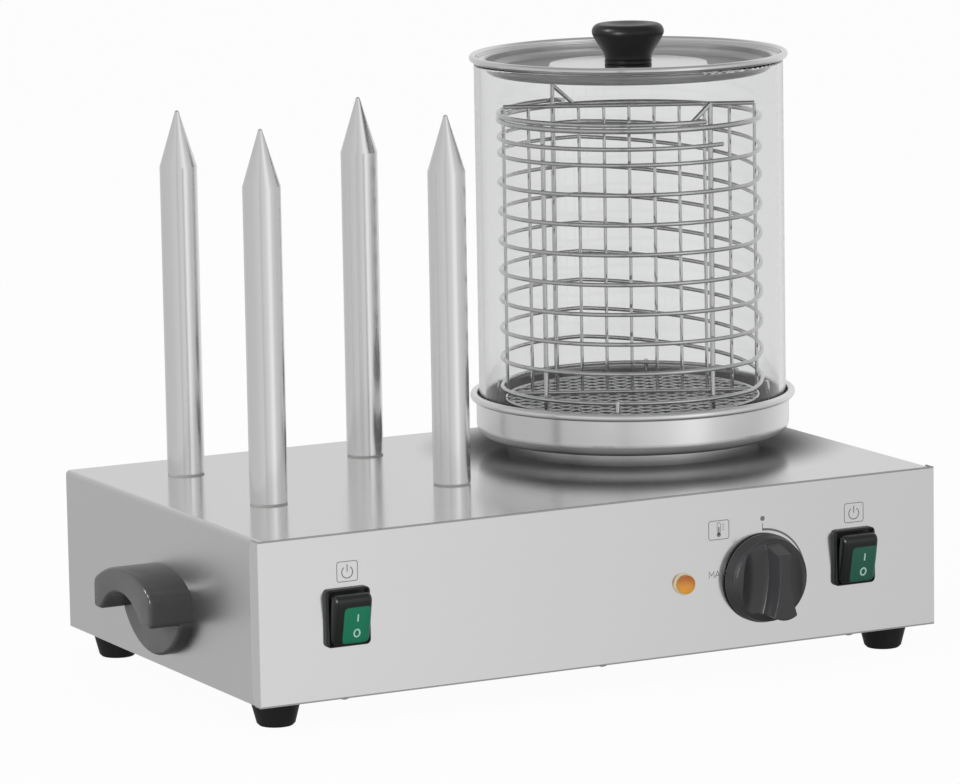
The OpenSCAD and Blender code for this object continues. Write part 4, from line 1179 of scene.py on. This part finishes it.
@dataclass
class Thermostat(Assembly):
    """Thermostat with its shaft, screws and softened knob."""

    grain: float = 0.4 * MM
    passes: int = 2

    def build(self) -> None:
        """Makes the knob with eased edges."""
        mesh = remoulded("thermostat_knob", self.grain, self.passes)
        add_piece("thermostat_knob_moulding", mesh, KNOB_BLACK, "dial", ("thermostat_knob",))

    def dress(self) -> None:
        """Gives the hidden parts their finishes."""
        dress(DARK_HOUSING, "thermostat_body")
        dress(ZINC, "thermostat_shaft", "thermostat_screws")


@dataclass
class PilotLamp(Assembly):
    """Pale rim and amber cap."""

    def dress(self) -> None:
        """Gives the lamp its finishes."""
        low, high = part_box("lamp_cap")
        cap = LampCap("amber_cap", tuple(middle("lamp_cap")), (high.z - low.z) / 2)
        dress(LAMP_RIM, "lamp_rim")
        dress(cap, "lamp_cap")


class Side(Enum):
    """The two sides of the housing."""

    LEFT = "left"
    RIGHT = "right"


@dataclass
class RockerSwitch(Assembly):
    """One rocker switch: softened frame, rubber boot with a green window, and the two marks."""

    side: Side
    core: Colour
    width: float = 26.0 * MM
    height: float = 32.0 * MM
    face: float = 7.2 * MM
    low: float = 1.9 * MM
    heel: float = 1.6 * MM
    round_r: float = 3.5 * MM
    dome: float = 0.35 * MM
    frame_edge: float = 0.9 * MM
    window_shift: Point2 = (2.9 * MM, -2.8 * MM)
    mark_gap: float = 5.0 * MM
    skirt_w: float = 25.2 * MM
    skirt_h: float = 31.6 * MM
    skirt_line: float = 2.6 * MM
    mark_width: float = 1.0 * MM
    mark_h: float = 4.8 * MM
    mark_lift: float = 0.15 * MM
    raised: float = 0.25 * MM
    skirt_corner: float = 2.0 * MM

    def outline(self, inset: float) -> list[Point2]:
        """Returns one section of the boot, up and out from its pivot.

        Args:
            inset: How far the section is drawn in at the boot's ends.

        Returns:
            The section's points, as many for every inset.
        """
        half = self.height / 2 - 0.6 * inset
        face = self.face - inset
        r = self.round_r
        points = [(0.0, -self.low), (half, self.heel)]
        points += arc((half - r, face - r), r, 0, 90, 6)
        inner = half - r
        for k in range(1, 10):
            up = inner * (1 - k / 5)
            points.append((up, face + self.dome * (1 - (up / inner) ** 2)))
        points += arc((-(half - r), face - r), r, 90, 180, 6)
        return points + [(-half, self.heel)]

    def boot(self, pivot: Vector, up: Vector, out: Vector) -> bpy.types.Mesh:
        """Lofts the boot along the pivot.

        Args:
            pivot: Middle of the pivot.
            up: The rocker's own upward direction.
            out: The rocker's own outward direction.

        Returns:
            The closed boot.
        """
        across = up.cross(out)
        half = self.width / 2
        edge = self.round_r
        ends = [half - edge + edge * math.sin(math.radians(15 * k)) for k in range(7)]
        places = [-x for x in reversed(ends)] + [half * (k / 4 - 1) * 0.7 for k in range(1, 8)] + ends
        work = bmesh.new()
        loops = []
        for x in places:
            past = max(0.0, abs(x) - (half - edge))
            inset = edge - math.sqrt(max(0.0, edge * edge - past * past))
            section = self.outline(inset)
            loops.append([work.verts.new(pivot + x * across + u * up + o * out) for u, o in section])
        bridge(work, loops)
        work.faces.new(loops[0])
        work.faces.new(loops[-1][::-1])
        return closed_mesh(f"{self.side.value}_rocker_boot", work)

    def build(self) -> None:
        """Makes the frame, the boot and the marks."""
        name = self.side.value
        body = f"{name}_rocker"
        pivot = joint_place(f"{name}_switch_rock")
        out = self.lens_normal(f"{name}_switch_lens")
        up = (UPWARDS - out.z * out).normalized()
        across = up.cross(out)
        window = pivot + self.face * out + self.window_shift[0] * across + self.window_shift[1] * up
        finish = RockerBoot(f"{name}_rocker_boot", tuple(window), self.core)
        add_piece(f"{name}_rocker_boot", self.boot(pivot, up, out), finish, body,
                  (f"{name}_switch_rocker", f"{name}_switch_lens"))
        marks = Stencil(window + self.mark_lift * out, across, up, self.raised)
        gap, half = self.mark_gap, self.mark_h / 2
        marks.stroke([(0, gap - half), (0, gap + half)], [self.mark_width])
        oval = [(0.8 * x, z - gap) for x, z in arc((0, 0), half, 0, 345, 23)]
        marks.stroke(oval, [self.mark_width], closed=True)
        printed = marks.mesh(f"{name}_rocker_marks")
        add_piece(f"{name}_rocker_marks", printed, PALE_GREEN_INK, body)
        skirt = Stencil(Vector((pivot.x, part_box("front_panel")[0].y, pivot.z)), SIDEWAYS, UPWARDS, self.raised)
        skirt.frame((0, 0), self.skirt_w, self.skirt_h, self.skirt_corner, self.skirt_line)
        ring = skirt.mesh(f"{name}_boot_skirt")
        add_piece(f"{name}_boot_skirt", ring, FRAME_BLACK, "housing")
        bezel = softened(f"{name}_switch_frame", self.frame_edge)
        add_piece(f"{name}_switch_bezel", bezel, FRAME_BLACK, "housing",
                  (f"{name}_switch_frame",))

    @staticmethod
    def lens_normal(node: str) -> Vector:
        """Returns the outward direction of a lens's face, taken over its front triangles."""
        total = Vector((0, 0, 0))
        for face in NODES[node].data.polygons:
            if face.normal.y < -0.9:
                total += face.area * face.normal
        return total.normalized()

    def dress(self) -> None:
        """Gives the switch body its finish."""
        dress(DARK_HOUSING, f"{self.side.value}_switch_body")


@dataclass
class SideHandles(Assembly):
    """Two hooked handles, each a grip and a base with rounded edges."""

    edge: float = 2.4 * MM
    edge_steps: int = 6
    spacing: float = 0.8 * MM
    corner_passes: int = 12
    base_r: float = 52.0 * MM
    base_t: float = 9.0 * MM
    base_h: float = 42.5 * MM
    base_inset: float = 0.3 * MM
    crease: float = 40.0

    @staticmethod
    def grip_outline(node: str, outer: float) -> list[Point2]:
        """Returns the outline of the grip's outer face.

        Args:
            node: Name of the handle's node.
            outer: X of the outer face.

        Returns:
            Points in Y and Z, in order round the face.
        """
        mesh = NODES[node].data
        sides: set[tuple] = set()
        for face in mesh.polygons:
            points = [mesh.vertices[v].co for v in face.vertices]
            if max(abs(p.x - outer) for p in points) > 0.01 * MM:
                continue
            keys = [(round(p.y / MM, 3), round(p.z / MM, 3)) for p in points]
            for side in zip(keys, keys[1:] + keys[:1]):
                if side[::-1] in sides:
                    sides.remove(side[::-1])
                else:
                    sides.add(side)
        after = dict(sides)
        walk = [min(after)]
        while after[walk[-1]] != walk[0]:
            walk.append(after[walk[-1]])
        return [(y * MM, z * MM) for y, z in walk]

    def base_outline(self, node: str) -> list[Point2]:
        """Returns the outline of the base: a round lower edge and a flat top inside the grip."""
        low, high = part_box(node)
        half = (high.y - low.y) / 2 - self.base_inset
        y = (low.y + high.y) / 2
        lean = math.degrees(math.asin(half / self.base_r))
        edge = arc((y, low.z + self.base_r), self.base_r, -90 - lean, -90 + lean, 48)
        return edge + [(y + half, low.z + self.base_h), (y - half, low.z + self.base_h)]

    def eased(self, outline: Sequence[Point2]) -> list[Vector]:
        """Returns an outline with even steps and rounded corners, counter-clockwise."""
        points = [Vector(p) for p in outline]
        lengths = [(b - a).length for a, b in zip(points, points[1:] + points[:1])]
        count = round(sum(lengths) / self.spacing)
        even = []
        k, start = 0, 0.0
        for i in range(count):
            place = i * sum(lengths) / count
            while place > start + lengths[k]:
                start += lengths[k]
                k += 1
            even.append(points[k].lerp(points[(k + 1) % len(points)], (place - start) / lengths[k]))
        for _ in range(self.corner_passes):
            even = [(even[i - 1] + 2 * even[i] + even[(i + 1) % count]) / 4 for i in range(count)]
        area = sum(a.x * b.y - b.x * a.y for a, b in zip(even, even[1:] + even[:1]))
        return even if area > 0 else even[::-1]

    def loft(self, name: str, outline: Sequence[Point2], wall: float, reach: float) -> bpy.types.Object:
        """Lofts an outline out from the housing's side and rounds its outer edge.

        Args:
            name: Name of the object.
            outline: Points in Y and Z.
            wall: X of the housing's side.
            reach: Signed distance from the side to the outer face.

        Returns:
            A temporary object.
        """
        ring = self.eased(outline)
        count = len(ring)
        inward = []
        for i in range(count):
            along = (ring[(i + 1) % count] - ring[i - 1]).normalized()
            inward.append(Vector((-along.y, along.x)))
        stations = [(0.0, 0.0)]
        for k in range(self.edge_steps + 1):
            turn = math.radians(90 * k / self.edge_steps)
            stations.append((abs(reach) - self.edge * (1 - math.sin(turn)), self.edge * (1 - math.cos(turn))))
        work = bmesh.new()
        loops = []
        for out, inset in stations:
            x = wall + math.copysign(out, reach)
            drawn = [p + inset * n for p, n in zip(ring, inward)]
            loops.append([work.verts.new((x, p.x, p.y)) for p in drawn])
        bridge(work, loops)
        caps = [work.faces.new(loops[0][::-1]), work.faces.new(loops[-1])]
        bmesh.ops.triangulate(work, faces=caps, ngon_method="EAR_CLIP")
        return stand(name, closed_mesh(name, work))

    def build(self) -> None:
        """Makes both handles, each grip joined to its base."""
        for side in Side:
            node = f"{side.value}_handle"
            low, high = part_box(node)
            outer, wall = (low.x, high.x) if side is Side.LEFT else (high.x, low.x)
            grip = self.loft(f"{node}_grip", self.grip_outline(node, outer), wall, outer - wall)
            base = self.loft(f"{node}_base", self.base_outline(node), wall, math.copysign(self.base_t, outer))
            union = grip.modifiers.new("union", "BOOLEAN")
            union.operation = "UNION"
            union.solver = "MANIFOLD"
            union.object = base
            mesh = shaded(plain_mesh(grip, f"{node}_moulding"), self.crease)
            bpy.data.objects.remove(base)
            add_piece(f"{node}_moulding", mesh, HANDLE_BLACK, "housing", (node,))

    def dress(self) -> None:
        """Gives the screws their finish."""
        dress(ZINC, "handle_screws")


@dataclass
class RearEntry(Assembly):
    """Cable gland and terminal block."""

    def dress(self) -> None:
        """Gives the rear fittings their finishes."""
        dress(GLAND_GREY, "cable_gland", "gland_nut")
        dress(BLOCK_WHITE, "terminal_block")


@dataclass
class FrontPrint(Assembly):
    """Grey marks printed on the front panel, placed from its middle and lower edge."""

    line: float = 0.45 * MM
    thickness: float = 0.05 * MM
    corner: float = 1.5 * MM
    power_x: float = 180.0 * MM
    power_z: float = 79.0 * MM
    power_w: float = 14.0 * MM
    power_h: float = 12.4 * MM
    power_r: float = 3.7 * MM
    power_drop: float = 0.5 * MM
    power_bar: Point2 = (0.3 * MM, 1.2 * MM)
    heat_at: Point2 = (80.8 * MM, 77.8 * MM)
    heat_w: float = 14.6 * MM
    heat_h: float = 12.0 * MM
    bulb_drop: float = 3.0 * MM
    bulb_r: float = 1.5 * MM
    column_top: float = 2.0 * MM
    column_w: float = 0.9 * MM
    stem_r: float = 1.2 * MM
    stem_low: float = -1.6 * MM
    stem_top: float = 3.6 * MM
    scale_x: Point2 = (2.4 * MM, 3.9 * MM)
    scale_z: tuple[float, ...] = (0.2 * MM, 1.7 * MM, 3.2 * MM)
    dot_at: Point2 = (112.7 * MM, 82.0 * MM)
    dot_r: float = 1.6 * MM
    tick_top: float = 79.0 * MM
    tick_low: float = 74.2 * MM
    most_at: Point2 = (73.5 * MM, 47.4 * MM)
    most_h: float = 4.2 * MM
    letter_w: float = 3.5 * MM
    letter_gap: float = 0.8 * MM
    sweep_r: float = 30.9 * MM
    sweep_wide: float = 1.6 * MM
    sweep_thin: float = 0.4 * MM
    sweep_end: float = -40.0
    sweep_steps: int = 60
    tick_drop: float = 1.2 * MM

    def power_mark(self, marks: Stencil, x: float) -> None:
        """Draws a power mark: open circle and bar in a rounded square."""
        marks.frame((x, self.power_z), self.power_w, self.power_h, self.corner, self.line)
        low, width = self.power_z - self.power_drop, [self.line * 1.4]
        marks.stroke(arc((x, low), self.power_r, 125, 415, 24), width)
        start, past = self.power_bar
        marks.stroke([(x, low + start), (x, low + self.power_r + past)], width)

    def heat_mark(self, marks: Stencil) -> None:
        """Draws a thermometer in a rounded square."""
        x, z = self.heat_at
        marks.frame(self.heat_at, self.heat_w, self.heat_h, self.corner, self.line)
        bulb = (x, z - self.bulb_drop)
        marks.disc(bulb, self.bulb_r)
        marks.stroke([bulb, (x, z + self.column_top)], [self.column_w])
        r, low, top = self.stem_r, z + self.stem_low, z + self.stem_top
        stem = [(x - r, low), (x - r, top)] + arc((x, top), r, 180, 0, 6) + [(x + r, low)]
        marks.stroke(stem, [self.line * 0.8])
        for level in self.scale_z:
            marks.stroke([(x + end, z + level) for end in self.scale_x], [self.line * 0.8])

    def most_mark(self, marks: Stencil) -> None:
        """Draws the word for the highest setting in plain strokes, with its tick."""
        x, z = self.most_at
        w, h = self.letter_w, self.most_h
        step = w + self.letter_gap
        strokes = [
            [(0, 0), (0, h), (w / 2, 0.35 * h), (w, h), (w, 0)],
            [(step, 0), (step + w / 2, h), (step + w, 0)],
            [(step + 0.22 * w, 0.36 * h), (step + 0.78 * w, 0.36 * h)],
            [(2 * step, 0), (2 * step + w, h)],
            [(2 * step, h), (2 * step + w, 0)],
        ]
        for stroke in strokes:
            marks.stroke([(x + u, z + v) for u, v in stroke], [self.line])
        under = z - self.tick_drop
        marks.stroke([(x + 2 * step - 0.4 * w, under), (x + 3 * step, under)], [self.line])

    def build(self) -> None:
        """Draws every mark on the panel's face."""
        low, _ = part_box("front_panel")
        marks = Stencil(Vector((0, low.y, low.z)), SIDEWAYS, UPWARDS, self.thickness)
        for sign in (-1, 1):
            self.power_mark(marks, sign * self.power_x)
        self.heat_mark(marks)
        self.most_mark(marks)
        marks.disc(self.dot_at, self.dot_r)
        marks.stroke([(self.dot_at[0], self.tick_low), (self.dot_at[0], self.tick_top)], [self.line])
        dial = joint_place("thermostat_turn")
        centre = (dial.x, dial.z - low.z)
        steps, slim = self.sweep_steps, self.sweep_thin - self.sweep_wide
        widths = [self.sweep_wide + slim * i / steps for i in range(steps + 1)]
        marks.stroke(arc(centre, self.sweep_r, 90, self.sweep_end, steps), widths)
        add_piece("front_print", marks.mesh("front_print"), GREY_INK, "housing")


@dataclass(frozen=True)
class Lamp:
    """A soft square lamp; an edge lamp only draws the edges of mouldings."""

    name: str
    at: Point3
    size: float
    power: float
    edges: bool = False


@dataclass
class Studio:
    """White floor, soft lamps, surroundings and the camera."""

    eye: Vector = field(default_factory=lambda: Vector((-1.6440, -3.1643, 0.7568)))
    lens: float = 210.48
    sensor: float = 36.0
    azimuth: float = -27.26
    elevation: float = 9.33
    roll: float = -1.0
    floor_half: float = 12.0
    floor_glow: float = 0.96
    behind_glass: float = 0.76
    below: float = 0.25
    above: float = 0.35
    ambient: float = 0.5
    aim: Point3 = (0.0, 0.0, 0.15)
    lamps: tuple[Lamp, ...] = (
        Lamp("key_lamp", (-3.0, -0.2, 0.6), 1.2, 48.0),
        Lamp("fill_lamp", (1.6, -2.8, 0.9), 1.8, 22.0),
        Lamp("rear_edge_lamp", (-2.1, 0.7, 2.2), 0.8, 40.0, edges=True),
        Lamp("front_edge_lamp", (-2.4, -1.4, 0.9), 0.8, 40.0, edges=True),
    )
    levels: tuple[Point2, ...] = (
        (-180, 0.72), (-150, 0.60), (-125, 0.52), (-60, 0.55), (-20, 0.62), (-11, 0.62), (-7, 0.40), (-3, 0.60),
        (20, 0.66), (40, 0.86), (49, 0.86), (54, 0.79), (59, 0.65), (70, 0.60), (99, 0.50), (120, 0.60),
        (150, 0.75), (180, 0.72),
    )

    def add_camera(self) -> None:
        """Places the camera at the photograph's view."""
        a, e, r = (math.radians(v) for v in (self.azimuth, self.elevation, self.roll))
        back = Vector((math.sin(a) * math.cos(e), -math.cos(a) * math.cos(e), math.sin(e)))
        right = Vector((math.cos(a), math.sin(a), 0))
        up = back.cross(right)
        tilted_right = math.cos(r) * right + math.sin(r) * up
        tilted_up = -math.sin(r) * right + math.cos(r) * up
        data = bpy.data.cameras.new("photo_view")
        data.sensor_fit = "HORIZONTAL"
        data.sensor_width = self.sensor
        data.lens = self.lens
        data.clip_end = 60.0
        camera = stand("photo_view", data)
        turned_axes = Matrix((tilted_right, tilted_up, back)).transposed().to_4x4()
        camera.matrix_world = Matrix.Translation(self.eye) @ turned_axes
        bpy.context.scene.camera = camera

    @staticmethod
    def ray_kinds(sheet: Sheet) -> tuple[Signal, Signal, Signal]:
        """Returns signals for rays seen directly, rays through glass and mirrored rays."""
        path = sheet.add("ShaderNodeLightPath")
        through = Signal(sheet, path.outputs["Is Transmission Ray"])
        direct = Signal(sheet, path.outputs["Is Camera Ray"]) + through
        mirrored = Signal(sheet, path.outputs["Glossy Depth"]) > 0.5
        return direct > 0.5, through, mirrored

    def backdrop(self, sheet: Sheet, through: Signal) -> Signal:
        """Returns the background's white, greyer where glass stands before it."""
        return sheet.tint(through, (1.0, 1.0, 1.0), (self.behind_glass,) * 3)

    def add_floor(self) -> None:
        """Lays a white floor that keeps the object's shadow."""
        mesh = bpy.data.meshes.new("studio_floor")
        h = self.floor_half
        mesh.from_pydata([(-h, -h, 0), (h, -h, 0), (h, h, 0), (-h, h, 0)], [], [(0, 1, 2, 3)])
        floor = stand("studio_floor", mesh)
        material = bpy.data.materials.new("studio_floor")
        material.use_nodes = True
        sheet = Sheet(material.node_tree)
        direct, through, mirrored = self.ray_kinds(sheet)
        matt = sheet.signal("ShaderNodeBsdfDiffuse", None, {"Color": (0.95, 0.95, 0.95, 1.0)})
        glow = {"Color": self.backdrop(sheet, through), "Strength": 1.0}
        white = sheet.signal("ShaderNodeEmission", None, glow)
        share = direct * self.floor_glow
        both = sheet.signal("ShaderNodeMixShader", None, {0: share, 1: matt, 2: white})
        gone = sheet.signal("ShaderNodeBsdfTransparent")
        floor_seen = sheet.signal("ShaderNodeMixShader", None, {0: mirrored, 1: both, 2: gone})
        sheet.add("ShaderNodeOutputMaterial", None, {"Surface": floor_seen})
        mesh.materials.append(material)
        floor.visible_glossy = False

    def add_lamp(self, lamp: Lamp) -> None:
        """Hangs a lamp that faces the object."""
        data = bpy.data.lights.new(lamp.name, "AREA")
        data.shape = "SQUARE"
        data.size = lamp.size
        data.energy = lamp.power
        hung = stand(lamp.name, data)
        at = Vector(lamp.at)
        facing = (Vector(self.aim) - at).to_track_quat("-Z", "Y")
        hung.matrix_world = Matrix.Translation(at) @ facing.to_matrix().to_4x4()
        hung.visible_glossy = lamp.edges
        hung.visible_transmission = False
        if lamp.edges:
            hung.light_linking.receiver_collection = MOULDINGS

    def add_world(self) -> None:
        """Surrounds the object with white seen directly and with soft boxes seen in metal."""
        world = bpy.data.worlds.new("studio")
        world.use_nodes = True
        bpy.context.scene.world = world
        sheet = Sheet(world.node_tree)
        direct, through, mirrored = self.ray_kinds(sheet)
        x, y, z = sheet.split(sheet.signal("ShaderNodeTexCoord", output="Generated"))
        eye_turn = math.atan2(self.eye.y, self.eye.x)
        sideways = x * -math.sin(eye_turn) + y * math.cos(eye_turn)
        towards = x * math.cos(eye_turn) + y * math.sin(eye_turn)
        share = sideways.angle_from(towards) / (2 * math.pi) + 0.5
        stops = [((turn + 180) / 360, (level, level, level)) for turn, level in self.levels]
        boxes = sheet.signal("ShaderNodeValToRGB", {"stops": stops}, {0: share})
        overhead = sheet.ranged(z, 0.45, 0.8)
        boxes = sheet.tint(overhead, boxes, (self.above,) * 3)
        under = sheet.ranged(z, -0.2, -0.6, 0.0, 1 - self.below)
        boxes = sheet.tint(under, boxes, (0.0, 0.0, 0.0))
        seen = sheet.tint(mirrored, (self.ambient,) * 3, boxes)
        plain = direct * (1 - mirrored)
        colour = sheet.tint(plain, seen, self.backdrop(sheet, through))
        light = sheet.signal("ShaderNodeBackground", None, {"Color": colour, "Strength": 1.0})
        sheet.add("ShaderNodeOutputWorld", None, {"Surface": light})

    def build(self) -> None:
        """Sets up the whole studio."""
        bpy.context.scene.view_settings.view_transform = "Standard"
        self.add_camera()
        self.add_floor()
        for lamp in self.lamps:
            self.add_lamp(lamp)
        self.add_world()


def main() -> None:
    """Builds the studio and every sub-assembly."""
    logging.basicConfig(level=logging.INFO, format="%(name)s: %(message)s")
    Studio().build()
    left = RockerSwitch(Side.LEFT, (0.0, 0.17, 0.085))
    right = RockerSwitch(Side.RIGHT, (0.012, 0.10, 0.062))
    for assembly in (Housing(), BreadSpikes(), SteamPan(), GlassAndLid(), WireBasket(WireSweep()), Thermostat(),
                     PilotLamp(), left, right, SideHandles(), RearEntry(), FrontPrint()):
        assembly.build()
        assembly.dress()


if __name__ == "__main__":
    main()
